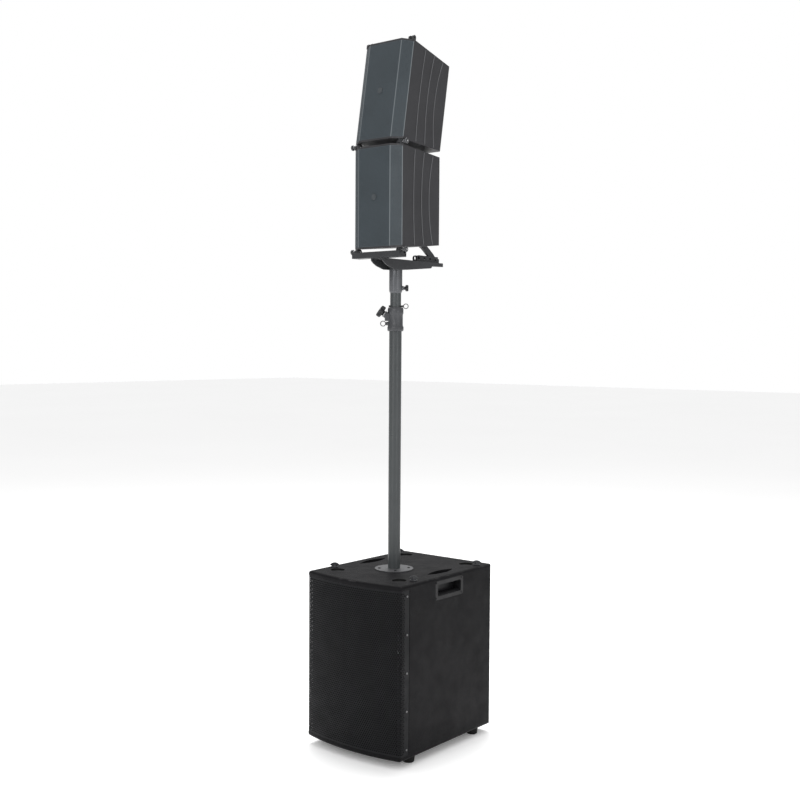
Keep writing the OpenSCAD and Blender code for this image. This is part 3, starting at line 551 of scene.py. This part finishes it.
for half in ("lower", "upper"):
    WEAR[half + "_cabinet"] = (slate_moulding, 0.0012)
    WEAR[half + "_badge"] = (badge_satin, 0.0002)
    WEAR[half + "_driver"] = (bracket_coat, 0.0)
    WEAR[half + "_cone"] = (coated_paper, 0.0)
    WEAR[half + "_horn"] = (black_moulding, 0.0)
    WEAR[half + "_rigging"] = (bracket_coat, 0.0004)
    WEAR[half + "_socket_panel"] = (black_moulding, 0.0004)
for part, (finish, edge) in WEAR.items():
    dress(part, finish, edge)
print("dressed:", len(WEAR))


# %% [markdown]
# ## Perforated steel
#
# A grille is a sheet punched with thousands of small hexagonal holes and then folded. An image of
# holes would look flat from the side, so the holes are real. The sheet is laid out flat as a
# honeycomb: every cell is a ring of six quads between the cell's corners and its hole's corners.
# The corners that neighbours share are merged, the outermost ones are pulled straight to make a
# clean border, and the flat layout is then wrapped round the folded path.

# %% a flat honeycomb
def honeycomb(width, height, pitch, hole):
    """A flat punched field, as points (u, v) and quads, centred on the origin.

    Cell centres lie in rows, a pitch apart, and each next row is shifted by half a pitch and lies
    0.866 of a pitch higher. Corner k of a cell is at angle 30 + 60 k degrees and pitch / sqrt 3 out,
    and the hole's corner is at the same angle and half the hole's width out.
    """
    cols = int(width / pitch)
    rows = int(height / (pitch * math.sqrt(3) / 2))
    step_v = height / rows
    step_u = width / (cols + 0.5)
    row, col = np.meshgrid(np.arange(rows), np.arange(cols), indexing="ij")
    cu = (-width / 2 + step_u * (0.5 + col + 0.5 * (row % 2))).ravel()
    cv = (-height / 2 + step_v * (0.5 + row)).ravel()
    angle = np.radians(30 + 60 * np.arange(6))
    outer_u = cu[:, None] + step_u / math.sqrt(3) * np.cos(angle)
    outer_v = cv[:, None] + step_v / 1.5 * np.sin(angle)
    inner_u = cu[:, None] + hole / 2 * np.cos(angle)
    inner_v = cv[:, None] + hole / 2 * np.sin(angle)
    side = -width / 2 + 0.55 * step_u
    outer_u = np.where(outer_u < side, -width / 2, outer_u)
    outer_u = np.where(outer_u > -side, width / 2, outer_u)
    outer_v = np.where(outer_v < -height / 2 + 0.4 * step_v, -height / 2, outer_v)
    outer_v = np.where(outer_v > height / 2 - 0.4 * step_v, height / 2, outer_v)
    outer = np.stack([outer_u.ravel(), outer_v.ravel()], axis=1)
    keys, index = np.unique(np.round(outer * 1e6).astype(np.int64), axis=0, return_inverse=True)
    corners = keys * 1e-6
    index = index.reshape(-1, 6)
    inner = np.stack([inner_u.ravel(), inner_v.ravel()], axis=1)
    hole_index = len(corners) + np.arange(len(inner)).reshape(-1, 6)
    nxt = np.roll(np.arange(6), -1)
    quads = np.stack([index, index[:, nxt], hole_index[:, nxt], hole_index], axis=2).reshape(-1, 4)
    points = np.concatenate([corners, inner])
    faces = [list(dict.fromkeys(q)) for q in quads.tolist()]
    return points, [f for f in faces if len(f) > 2]


def margin(u0, u1, v0, v1, step):
    """A plain strip of the sheet as a grid of points and quads, from corner to corner."""
    nu = max(2, int(abs(u1 - u0) / step) + 1)
    u, v = np.meshgrid(np.linspace(u0, u1, nu), np.array([v0, v1]), indexing="xy")
    return np.stack([u.ravel(), v.ravel()], axis=1), grid_faces(2, nu)


def punched_sheet(width, height, fields, border, pitch, hole):
    """A whole flat sheet: punched fields side by side, and plain strips wherever they leave room.

    fields holds the start and end of each field along the width, from -width / 2 to width / 2.
    """
    field_h = height - 2 * border
    half_h, half_f = height / 2, field_h / 2
    edges = [-width / 2] + [u for field in fields for u in field] + [width / 2]
    parts = [margin(a, b, -half_h, half_h, 0.001) for a, b in zip(edges[0::2], edges[1::2])]
    for u0, u1 in fields:
        points, faces = honeycomb(u1 - u0, field_h, pitch, hole)
        parts.append((points + [0.5 * (u0 + u1), 0], faces))
        parts.append(margin(u0, u1, -half_h, -half_f, 0.002))
        parts.append(margin(u0, u1, half_f, half_h, 0.002))
    points, faces, start = [], [], 0
    for p, f in parts:
        points.append(p)
        faces += [[i + start for i in face] for face in f]
        start += len(p)
    return np.concatenate(points), faces


def rounded_path(corners, radius, per_turn=8):
    """A path through corners, each turned through an arc of the given radius.

    The arc meets both legs at radius * tan(half the turn) from the corner, and its points are
    spaced evenly by angle between the two meeting points, on the circle that touches both legs.
    """
    pts = [np.array(corners[0], float)]
    for a, b, c in zip(corners, corners[1:], corners[2:]):
        a, b, c = [np.array(p, float) for p in (a, b, c)]
        u, w = (a - b) / np.linalg.norm(a - b), (c - b) / np.linalg.norm(c - b)
        half = 0.5 * math.acos(np.clip(-(u @ w), -1, 1))
        if half < 0.02:
            pts.append(b)
            continue
        reach = radius * math.tan(half)
        mid = (u + w) / np.linalg.norm(u + w)
        centre = b + mid * radius / math.cos(half)
        swing = np.linspace(-half, half, per_turn)[:, None]
        side = (w - u) / np.linalg.norm(w - u)
        arc = centre - mid * radius * np.cos(swing) + side * radius * np.sin(swing)
        pts += list(arc)
        assert reach < np.linalg.norm(a - b)
    pts.append(np.array(corners[-1], float))
    return np.array(pts)


def wrap(flat, path):
    """Lays a flat sheet's u along a path in plan, by arc length from its middle, and v up Z."""
    leg = np.linalg.norm(np.diff(path, axis=0), axis=1)
    run = np.concatenate([[0], np.cumsum(leg)])
    s = flat[:, 0] + run[-1] / 2
    x, y = np.interp(s, run, path[:, 0]), np.interp(s, run, path[:, 1])
    return np.stack([x, y, flat[:, 1]], axis=1)


def path_length(path):
    """The length of a path."""
    return float(np.linalg.norm(np.diff(path, axis=0), axis=1).sum())


def thicken(obj, depth):
    """Gives a sheet its thickness, inwards from its outer face."""
    solid = obj.modifiers.new("thickness", "SOLIDIFY")
    solid.thickness = depth
    solid.offset = -1.0
    return obj


print("honeycomb ready")


# %% [markdown]
# ### The bass grille
#
# It bows forward in one long arc from side to side and returns along both sides of the cabinet.
# The arc is a circle through the two front corners and the middle of the bow. A sheet of open-cell
# foam stands a few millimetres behind it, as on a real bass box, and hides the driver from view.

# %% bass grille
half_w = grille_high[0]
flange_back = grille_high[1]
bow_front = grille_low[1]
BOW = 0.025
BASS_BORDER, BASS_PITCH, BASS_HOLE = 0.005, 0.0076, 0.0055
PLAIN_END, BASS_STEEL, BASS_BEND = 0.02, 0.0014, 0.004
FOAM_INSET, FOAM_DEEP, FOAM_ROWS, FOAM_COLS = 0.0045, 0.005, 81, 61
FOAM_SHORT, FOAM_LOW = 0.0165, 0.001
bow_radius = (half_w ** 2 + BOW ** 2) / (2 * BOW)


def bow_arc(half, inset, steps):
    """Points on the bow's circle, made smaller by an inset, from -half to half across."""
    swing = np.linspace(-math.asin(half / bow_radius), math.asin(half / bow_radius), steps)
    return np.stack([(bow_radius - inset) * np.sin(swing),
                     bow_front + bow_radius - (bow_radius - inset) * np.cos(swing)], axis=1)


plan = ([(-half_w, flange_back)] + [tuple(p) for p in bow_arc(half_w, 0.0, 73)]
        + [(half_w, flange_back)])
bass_path = rounded_path(plan, BASS_BEND)
bass_height = grille_high[2] - grille_low[2]
bass_mid_z = 0.5 * (grille_high[2] + grille_low[2])
bass_w = path_length(bass_path)
flat, faces = punched_sheet(bass_w, bass_height, [(-bass_w / 2 + PLAIN_END, bass_w / 2 - PLAIN_END)],
                            BASS_BORDER, BASS_PITCH, BASS_HOLE)
bass_points = wrap(flat, bass_path) + [0, 0, bass_mid_z]
bass_grille = add_piece("bass_grille_sheet", bass_points, faces, "subwoofer",
                        bass_grille_coat, smooth=False)
thicken(bass_grille, BASS_STEEL)
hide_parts("sub_grille")
print("bass grille faces:", len(faces))

# %% foam behind the bass grille
foam_arc = bow_arc(half_w - FOAM_SHORT, FOAM_INSET, FOAM_COLS)
foam_v = np.linspace(-bass_height / 2 + FOAM_LOW, bass_height / 2 - FOAM_LOW, FOAM_ROWS)
foam_x, foam_z = np.meshgrid(foam_arc[:, 0], foam_v, indexing="xy")
foam_y = np.broadcast_to(foam_arc[:, 1], foam_x.shape)
foam = add_piece("bass_grille_foam", np.stack([foam_x, foam_y, foam_z + bass_mid_z], axis=-1),
                 grid_faces(FOAM_ROWS, FOAM_COLS), "subwoofer", soft_foam)
thicken(foam, FOAM_DEEP)
print("foam sheet:", foam_x.shape)


# %% [markdown]
# ### The two top grilles
#
# Each folds twice, so that a flat front leans back into two narrow facets. The punching is much
# finer than on the bass box and the backing is close behind it, which is why these fronts look
# almost plain from a few steps away. The grille's ends follow the box, whose height falls towards
# its back, so each point's height is scaled by how deep it lies.

# %% a box's own frame
EYE_Y, EYE_DROP = 25 * MM, 6 * MM
BOX_H, BOX_D, TAPER = 320 * MM, 215 * MM, 20 * MM


def on_box(points, half):
    """Carries points drawn on an upright box (front bottom edge on X) to the lower or upper box.

    They turn about the box's hinge eye by its lean: depth gains height times the sine, and height
    loses depth times the sine.
    """
    p = np.asarray(points, float).reshape(-1, 3)
    lean, hinge = (0.0, HINGE_LOW) if half == "lower" else (LEAN, HINGE_HIGH)
    c, s = math.cos(lean), math.sin(lean)
    y, z = p[:, 1] - EYE_Y, p[:, 2] + EYE_DROP
    return np.stack([p[:, 0], hinge[1] + y * c + z * s, hinge[2] - y * s + z * c], axis=1)


def height_at(depth, margin_z):
    """The box's inner height at a depth, less a margin at both ends."""
    return BOX_H - 2 * margin_z - 2 * TAPER * depth / BOX_D


SHEET_GAP, CLOTH_GAP = 0.0059, 0.0075
print("grille height at its front:", round(height_at(0, SHEET_GAP), 4))

# %% top grilles and their backing
FACET_HALF, SIDE_HALF, FACET_DEEP = 64 * MM, 97 * MM, 22.3 * MM
# Painted highlights: light lines along each top grille's two folds and along its outer ends.
highlight_line(slate_grille_coat, FACET_HALF, 1.6 * MM, (0.17, 0.19, 0.2, 1.0))
highlight_line(slate_grille_coat, SIDE_HALF, 2.2 * MM, (0.2, 0.22, 0.23, 1.0))
top_plan = [(-SIDE_HALF, FACET_DEEP), (-FACET_HALF, 0), (FACET_HALF, 0), (SIDE_HALF, FACET_DEEP)]
top_path = rounded_path(top_plan, 0.0035, per_turn=7)
top_w = path_length(top_path)
EDGE, FOLD, TOP_BORDER, TOP_PITCH, TOP_HOLE = 0.0024, 0.0014, 0.0022, 0.0042, 0.0022
TOP_STEEL, CLOTH_THICK, CLOTH_ROWS, CLOTH_COLS = 0.0011, 0.0015, 31, 41
top_fields = [(-top_w / 2 + EDGE, -FACET_HALF - FOLD), (-FACET_HALF + FOLD, FACET_HALF - FOLD),
              (FACET_HALF + FOLD, top_w / 2 - EDGE)]
front_height = height_at(0, SHEET_GAP)
top_flat, top_faces = punched_sheet(top_w, front_height, top_fields, TOP_BORDER, TOP_PITCH, TOP_HOLE)
top_wrapped = wrap(top_flat, top_path)
top_wrapped[:, 2] *= height_at(top_wrapped[:, 1], SHEET_GAP) / front_height
top_wrapped[:, 2] += BOX_H / 2
backing_plan = np.array(top_plan) * [0.985, 1.0] + [0, 0.0021]
backing_path = rounded_path(backing_plan, 0.003, per_turn=7)
back_u = np.linspace(-0.5, 0.5, CLOTH_COLS) * path_length(backing_path)
back_u, back_v = np.meshgrid(back_u, np.linspace(-0.5, 0.5, CLOTH_ROWS), indexing="xy")
backing = wrap(np.stack([back_u.ravel(), back_v.ravel()], axis=1), backing_path)
backing[:, 2] = BOX_H / 2 + backing[:, 2] * height_at(backing[:, 1], CLOTH_GAP)
for half in ("lower", "upper"):
    sheet = add_piece(half + "_grille_sheet", on_box(top_wrapped, half), top_faces, half + "_box",
                      slate_grille_coat, smooth=False)
    thicken(sheet, TOP_STEEL)
    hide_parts(half + "_grille")
    cloth = add_piece(half + "_grille_backing", on_box(backing, half),
                      grid_faces(CLOTH_ROWS, CLOTH_COLS), half + "_box",
                      slate_backing)
    thicken(cloth, CLOTH_THICK)
print("top grille faces:", len(top_faces))


# %% [markdown]
# ## Star knobs
#
# The clamp knob and the swivel knob are moulded with six lobes. Cutting six round bites from a
# disc would leave sharp creases, so a lathe profile gives their body and the radius dips between
# the lobes: it is multiplied by one minus a share of a raised cosine of six times the angle. The
# dip fades to nothing at the hub, so that the face stays round.

# %% star knob shapes
def star_body(profile, lobes, dip, reach):
    """A lathed knob whose radius dips between its lobes, more where it is nearer its full reach."""
    def scallop(angle, radius, height):
        wave = 0.5 - 0.5 * np.cos(lobes * angle)
        return radius * (1 - dip * wave ** 1.4 * np.clip(radius / reach, 0, 1) ** 2)
    return lathe(np.array(profile) * MM, 96, scallop)


def stud_profile(radius, low, high, pitch):
    """A threaded stud: its radius falls by 0.3 of a pitch in a rounded groove every pitch."""
    z = np.arange(low, high, pitch / 4)
    r = radius - pitch * 0.3 * (0.5 - 0.5 * np.cos(2 * np.pi * z / pitch))
    return [(0, low)] + list(zip(r, z)) + [(radius * 0.8, high), (0, high)]


def turned(name, profile, origin, axis, body, material, count=48):
    """A round turned piece on an axis."""
    points, faces = lathe(np.array(profile, float) * MM, count)
    return add_piece(name, place(points, origin, axis), faces, body, material)


print("knob shapes ready")

# %% the clamp knob
clamp = joint["clamp_knob_turn"]
clamp_at, clamp_axis = np.array(clamp["pos_m"]), clamp["axis"]
points, faces = star_body([(0, 46), (8.6, 46), (9, 46.6), (9.2, 49), (12, 50.2), (18.5, 50.6),
                           (20.6, 52), (21, 54), (21, 60.5), (20.2, 63), (18, 64.6), (14, 65),
                           (12.5, 64.4), (8, 64.2), (7.4, 63.2), (7.0, 63.0), (0, 63.0)],
                          6, 0.3, 21 * MM)
knob = add_piece("clamp_knob_body", place(points, clamp_at, clamp_axis), faces, "clamp_knob",
                 star_plastic)
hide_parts("collar_knob")
turned("clamp_knob_stud", stud_profile(4, 27, 46.5, 1.5), clamp_at, clamp_axis, "clamp_knob",
       bright_zinc)
turned("clamp_knob_washer", [(0, 43.5), (11.5, 43.5), (12, 44), (12, 45.5), (11.5, 46), (0, 46)],
       clamp_at, clamp_axis, "clamp_knob", bright_zinc)
turned("clamp_knob_cap", [(0, 62.8), (6.4, 62.8), (6.2, 63.6), (4, 64.4), (0, 64.6)], clamp_at,
       clamp_axis, "clamp_knob", black_moulding)
print("clamp knob axis:", [round(v, 3) for v in clamp_axis])

# %% the swivel knob
swivel = joint["swivel_knob_turn"]
swivel_at, swivel_axis = np.array(swivel["pos_m"]), swivel["axis"]
points, faces = star_body([(0, 27), (5.6, 27), (6, 27.5), (6, 31), (8, 31.4), (10, 31.8),
                           (11, 33), (11, 38.5), (10.2, 40.4), (8, 41), (4.5, 41), (4, 40.4),
                           (0, 40.2)], 6, 0.28, 11 * MM)
knob = add_piece("swivel_knob_body", place(points, swivel_at, swivel_axis), faces, "swivel_knob",
                 star_plastic)
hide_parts("bracket_knob")
turned("swivel_knob_stud", stud_profile(3, 18, 27.2, 1.25), swivel_at, swivel_axis, "swivel_knob",
       bright_zinc)
print("swivel knob at", [round(float(v), 3) for v in swivel_at])


# %% [markdown]
# ## Quick-release pins
#
# Each hinge is pinned by two short pins with a mushroom head and a spring button. The head's rim is
# knurled: twenty-four shallow ridges, made by letting the radius follow a raised cosine of the
# angle wherever the profile is near its widest. A bump would do from afar, but the outline of a
# bumped rim stays round.

# %% quick-release pins
RIDGES, RIDGE_DEEP, RIM_FROM, RIM_FULL = 24, 0.045, 8.4 * MM, 0.5 * MM


def knurl(angle, radius, height):
    """Shallow ridges round the rim only: 0.045 of the radius, growing in beyond 8.4 mm out."""
    rim = np.clip((radius - RIM_FROM) / RIM_FULL, 0, 1)
    return radius * (1 - RIDGE_DEEP * rim * (0.5 - 0.5 * np.cos(RIDGES * angle)))


PIN_HEAD = [(0, 97.4), (5.2, 97.4), (5.5, 97.8), (5.5, 100.4), (5, 101.2), (3.7, 102.4),
            (3.5, 104), (3.8, 105.6), (7.5, 107.2), (8.8, 108.4), (9, 109.2), (9, 110.8),
            (8.6, 111.8), (7, 113.2), (4.6, 113.9), (3.6, 113.6), (0, 113.6)]
PIN_SHAFT = [(0, 74), (2.2, 74), (3, 74.8), (3, 78), (2.75, 78.3), (2.75, 79.7), (3, 80), (3, 97.5),
             (0, 97.6)]
PIN_BUTTON = [(0, 113.4), (3.1, 113.4), (3.1, 114.9), (2.4, 115.4), (0, 115.5)]
for half, hinge in (("lower", HINGE_LOW), ("upper", HINGE_HIGH)):
    for side, sign in (("left", -1), ("right", 1)):
        body = half + "_" + side + "_pin"
        origin, axis = [0.0, hinge[1], hinge[2]], (sign, 0, 0)
        points, faces = lathe(np.array(PIN_HEAD) * MM, 96, knurl)
        head = add_piece(body + "_head", place(points, origin, axis), faces, body,
                         pin_head_metal)
        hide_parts(half + "_pin_" + side)
        turned(body + "_shaft", PIN_SHAFT, origin, axis, body, bright_zinc)
        turned(body + "_button", PIN_BUTTON, origin, axis, body, bright_zinc, count=32)
print("pins at", [round(float(v), 3) for v in HINGE_LOW], [round(float(v), 3) for v in HINGE_HIGH])


# %% [markdown]
# ## The rear panel's print and contacts
#
# The amplifier plate carries printed scales round its dials and thin frames round its rows of
# connectors. They are flat strips a tenth of a millimetre thick, made as closed loops between an
# inner and an outer outline, which stay sharp close up, as a printed image wouldn't. Each socket
# gets its core and three contact pins, and the lamps are small lathe-turned lenses.

# %% printed marks
def loop_strip(name, outline, width, body, material, depth=0.0001):
    """A closed strip: each point of a convex outline (x, z) is moved inwards by a width."""
    ring = np.asarray(outline, float)
    centre = ring[:, [0, 2]].mean(axis=0)
    ahead = np.roll(ring, -1, axis=0) - np.roll(ring, 1, axis=0)
    normal = np.stack([-ahead[:, 2], ahead[:, 0]], axis=1)
    normal /= np.linalg.norm(normal, axis=1)[:, None]
    towards = centre - ring[:, [0, 2]]
    normal *= np.sign((normal * towards).sum(axis=1))[:, None]
    inner = ring.copy()
    inner[:, 0] += normal[:, 0] * width
    inner[:, 2] += normal[:, 1] * width
    count = len(ring)
    points = np.concatenate([ring, inner])
    faces = [[k, k + count, (k + 1) % count + count, (k + 1) % count] for k in range(count)]
    obj = add_piece(name, points, faces, body, material, smooth=False)
    thicken(obj, depth)
    obj.modifiers["thickness"].offset = 1.0
    return obj


def rounded_outline(x0, x1, z0, z1, radius, y, steps=7):
    """A rectangle with round corners as points (x, y, z), a quarter circle at each corner."""
    turn = np.linspace(0, np.pi / 2, steps)
    corners = [(x1 - radius, z1 - radius, 0), (x0 + radius, z1 - radius, 1),
               (x0 + radius, z0 + radius, 2), (x1 - radius, z0 + radius, 3)]
    parts = [np.stack([cx + radius * np.cos(turn + k * np.pi / 2), np.full(steps, y),
                       cz + radius * np.sin(turn + k * np.pi / 2)], axis=1)
             for cx, cz, k in corners]
    return np.concatenate(parts)


frames = {"inputs": (8, 82, 298, 345), "outputs": (-82, -8, 298, 345), "levels": (2, 100, 372, 420),
          "mains": (12, 108, 176, 224)}
for label, (x0, x1, z0, z1) in frames.items():
    outline = rounded_outline(x0 * MM, x1 * MM, z0 * MM, z1 * MM, 4 * MM, PLATE_Y + 0.00002)
    loop_strip("print_frame_" + label, outline, 0.0007, "subwoofer", white_print)
print("printed frames:", len(frames))


# %% dial scales, lamps and contacts
LONG_TICK, SHORT_TICK, LONG_EVERY = 0.0032, 0.002, 5


def tick_marks(name, cx, cz, radius, count, body):
    """Thin bars like a clock's, from half past seven to half past four, every fifth one longer."""
    angle = np.radians(np.linspace(225, -45, count))
    inner = np.full(count, radius)
    outer = radius + np.where(np.arange(count) % LONG_EVERY == 0, LONG_TICK, SHORT_TICK)
    half_t = 0.0003
    c, s = np.cos(angle), np.sin(angle)
    corners = []
    for r, side in ((inner, -1), (inner, 1), (outer, 1), (outer, -1)):
        corners.append(np.stack([cx + r * c - side * half_t * s, np.full(count, PLATE_Y + 0.00012),
                                 cz + r * s + side * half_t * c], axis=1))
    points = np.stack(corners, axis=1).reshape(-1, 3)
    faces = [[4 * k, 4 * k + 1, 4 * k + 2, 4 * k + 3] for k in range(count)]
    obj = add_piece(name, points, faces, body, white_print, smooth=False)
    thicken(obj, 0.0001)
    return obj


KNOB_FACE = 11.45
for label, joint_name in (("sub", "sub_level_turn"), ("tops", "tops_level_turn")):
    at = joint[joint_name]["pos_m"]
    tick_marks("dial_scale_" + label, at[0], at[2], 0.0112, 11, "subwoofer")
    pointer = np.array([[-0.5, KNOB_FACE, 3.4], [0.5, KNOB_FACE, 3.4], [0.5, KNOB_FACE, 8.8],
                        [-0.5, KNOB_FACE, 8.8]]) * MM + [at[0], PLATE_Y, at[2]]
    mark = add_piece("dial_pointer_" + label, pointer, [[0, 3, 2, 1]], label + "_knob",
                     white_print, smooth=False)
    thicken(mark, 0.0003)

LAMPS = {"lamp_power": (-3, 206, green_lens), "lamp_signal": (-3, 200, amber_lens),
         "lamp_limit": (-3, 194, red_lens)}
for label, (x, z, lens_finish) in LAMPS.items():
    turned(label, [(0, -0.2), (1.9, -0.2), (1.9, 0.5), (1.4, 1.1), (0.7, 1.45), (0, 1.55)],
           [x * MM, PLATE_Y, z * MM], (0, 1, 0), "subwoofer", lens_finish,
           count=24)
print("scales and lamps done")

# %% connector cores
def connector(name, origin, axis, body, core_r, pin_ring, length):
    """A moulded core at the bottom of a socket, with three contact pins round it."""
    turned(name + "_core", [(0, 0), (core_r, 0), (core_r, length * 0.45),
                            (core_r - 0.8, length * 0.5), (1.2, length * 0.5),
                            (1.0, length * 0.42), (0, length * 0.42)],
           origin, axis, body, black_moulding, count=40)
    frame3 = axes_from(axis)
    for k in range(3):
        a = math.radians(90 + 120 * k)
        shift = frame3 @ np.array([pin_ring * math.cos(a), pin_ring * math.sin(a), 0]) * MM
        turned(name + "_contact_%d" % k, [(0, 0), (1.1, 0), (1.1, length * 0.78),
                                          (0.7, length * 0.84), (0, length * 0.85)],
               np.array(origin) + shift, axis, body, contact_metal, count=20)


def fill_socket(mount_name, body, core_r, pin_ring):
    """Puts a connector into a socket, from the bottom of its bore to 0.8 of the bore's length."""
    bore = mounts[mount_name]
    length = bore["dims"]["length_mm"]
    bottom = np.array(bore["pos_m"]) - np.array(bore["axis"]) * length * MM / 2
    connector(mount_name, bottom, bore["axis"], body, core_r, pin_ring, length * 0.8)


mounts = {m["name"]: m for m in frame["record"]["mounts"]}
for label in ("sub_in_1", "sub_in_2", "tops_out_1", "tops_out_2"):
    fill_socket(label, "subwoofer", 4.6, 6.6)
for half in ("lower", "upper"):
    for k in ("1", "2"):
        fill_socket(half + "_socket_" + k, half + "_box", 5.2, 8.0)
print("connectors done")


# %% [markdown]
# ## Where the eye stands
#
# The camera looks slightly down from the right front corner, at the height of a standing person's
# chest. Its three axes are worked out from its heading, its dip and a small roll.

# %% the camera
HEADING = math.radians(39.11)
DIP = math.radians(2.712)
ROLL = math.radians(0.356)
EYE_AT = (2.3129, -2.8466, 1.2871)
SENSOR_W, LENS = 36.0, 50.91
forward = np.array([-math.sin(HEADING) * math.cos(DIP), math.cos(HEADING) * math.cos(DIP),
                    -math.sin(DIP)])
level = np.array([math.cos(HEADING), math.sin(HEADING), 0.0])
upright = np.cross(level, forward)
right = math.cos(ROLL) * level + math.sin(ROLL) * upright
up = -math.sin(ROLL) * level + math.cos(ROLL) * upright
camera_data = bpy.data.cameras.new("camera")
camera_data.sensor_width = SENSOR_W
camera_data.lens = LENS
camera = bpy.data.objects.new("camera", camera_data)
bpy.context.scene.collection.objects.link(camera)


def stand_at(obj, axes, where):
    """Sets an object's turn from three axes in columns, and its place."""
    pose = np.eye(4)
    pose[:3, :3] = axes
    pose[:3, 3] = where
    obj.matrix_world = Matrix(pose.tolist())


stand_at(camera, np.stack([right, up, -forward], axis=1), EYE_AT)
bpy.context.scene.camera = camera
print("camera at", EYE_AT)


# %% [markdown]
# ## A white studio
#
# The speaker is nearly black, so it is lit as a product on a white sweep. A large soft light
# stands in front and a weaker one at the right, one overhead lifts the top of the bass box, and two
# tall thin strips draw upright highlights down the tubes. The surroundings light the speaker as a
# dome, darker near the horizon and bright above, but the camera sees them plain white. The floor
# glows a little, so that it stays nearly white where the lights don't reach.

# %% floor, surroundings and lights
def area_light(name, where, aim, size, power, tall):
    """A square soft light, or a tall strip, at a place and turned towards another."""
    data = bpy.data.lights.new(name, "AREA")
    data.size = size
    if tall:
        data.shape = "RECTANGLE"
        data.size_y = tall
    data.energy = power
    obj = bpy.data.objects.new(name, data)
    bpy.context.scene.collection.objects.link(obj)
    stand_at(obj, axes_from(np.array(where, float) - np.array(aim, float)), where)
    return obj


FLOOR_REACH, FLOOR_GLOW = 30.0, 0.13
DOME_LOW, DOME_HIGH = (0.1, grey(0.3)), (0.85, grey(1.02))
# each light: its place, what it is turned towards, its width, its power and, for a strip, its height
MIDDLE = (0, 0, 1.3)
LIGHTS = {
    "key": ((1.4, -3.6, 2.6), MIDDLE, 1.6, 30, None),
    "side": ((3.6, 0.6, 2.0), MIDDLE, 1.6, 6, None),
    "overhead": ((-0.8, 1.0, 4.6), (0, 0, 0.9), 2.2, 185, None),
    "strip_front": ((-0.1, -3.2, 1.6), (0, 0, 1.6), 0.14, 12, 2.4),
    "strip_side": ((3.1, -0.9, 1.6), (0, 0, 1.6), 0.14, 12, 2.4),
}
floor_mesh = bpy.data.meshes.new("floor")
floor_mesh.from_pydata([(-FLOOR_REACH, -FLOOR_REACH, 0), (FLOOR_REACH, -FLOOR_REACH, 0),
                        (FLOOR_REACH, FLOOR_REACH, 0), (-FLOOR_REACH, FLOOR_REACH, 0)],
                       [], [(0, 1, 2, 3)])
floor = bpy.data.objects.new("floor", floor_mesh)
bpy.context.scene.collection.objects.link(floor)
glow = studio_floor.node_tree.nodes["Principled BSDF"].inputs
glow["Emission Color"].default_value = grey(1.0)
glow["Emission Strength"].default_value = FLOOR_GLOW
floor_mesh.materials.append(studio_floor)
world = bpy.data.worlds.new("studio")
world.use_nodes = True
sky = world.node_tree
direction = sky.nodes.new("ShaderNodeTexCoord")
height = sky.nodes.new("ShaderNodeSeparateXYZ")
link(sky, direction, "Generated", height, "Vector")
dome = ramp(sky, height, "Z", DOME_LOW, DOME_HIGH)
seen = sky.nodes.new("ShaderNodeLightPath")
shown = mixed(sky, seen.outputs["Is Camera Ray"], dome.outputs["Color"], grey(1.0))
sky.links.new(shown, sky.nodes["Background"].inputs["Color"])
sky.nodes["Background"].inputs["Strength"].default_value = 1.0
bpy.context.scene.world = world
bpy.context.scene.view_settings.view_transform = "Standard"
for light_name, setup in LIGHTS.items():
    area_light(light_name, *setup)
print("lights:", len(bpy.data.lights))
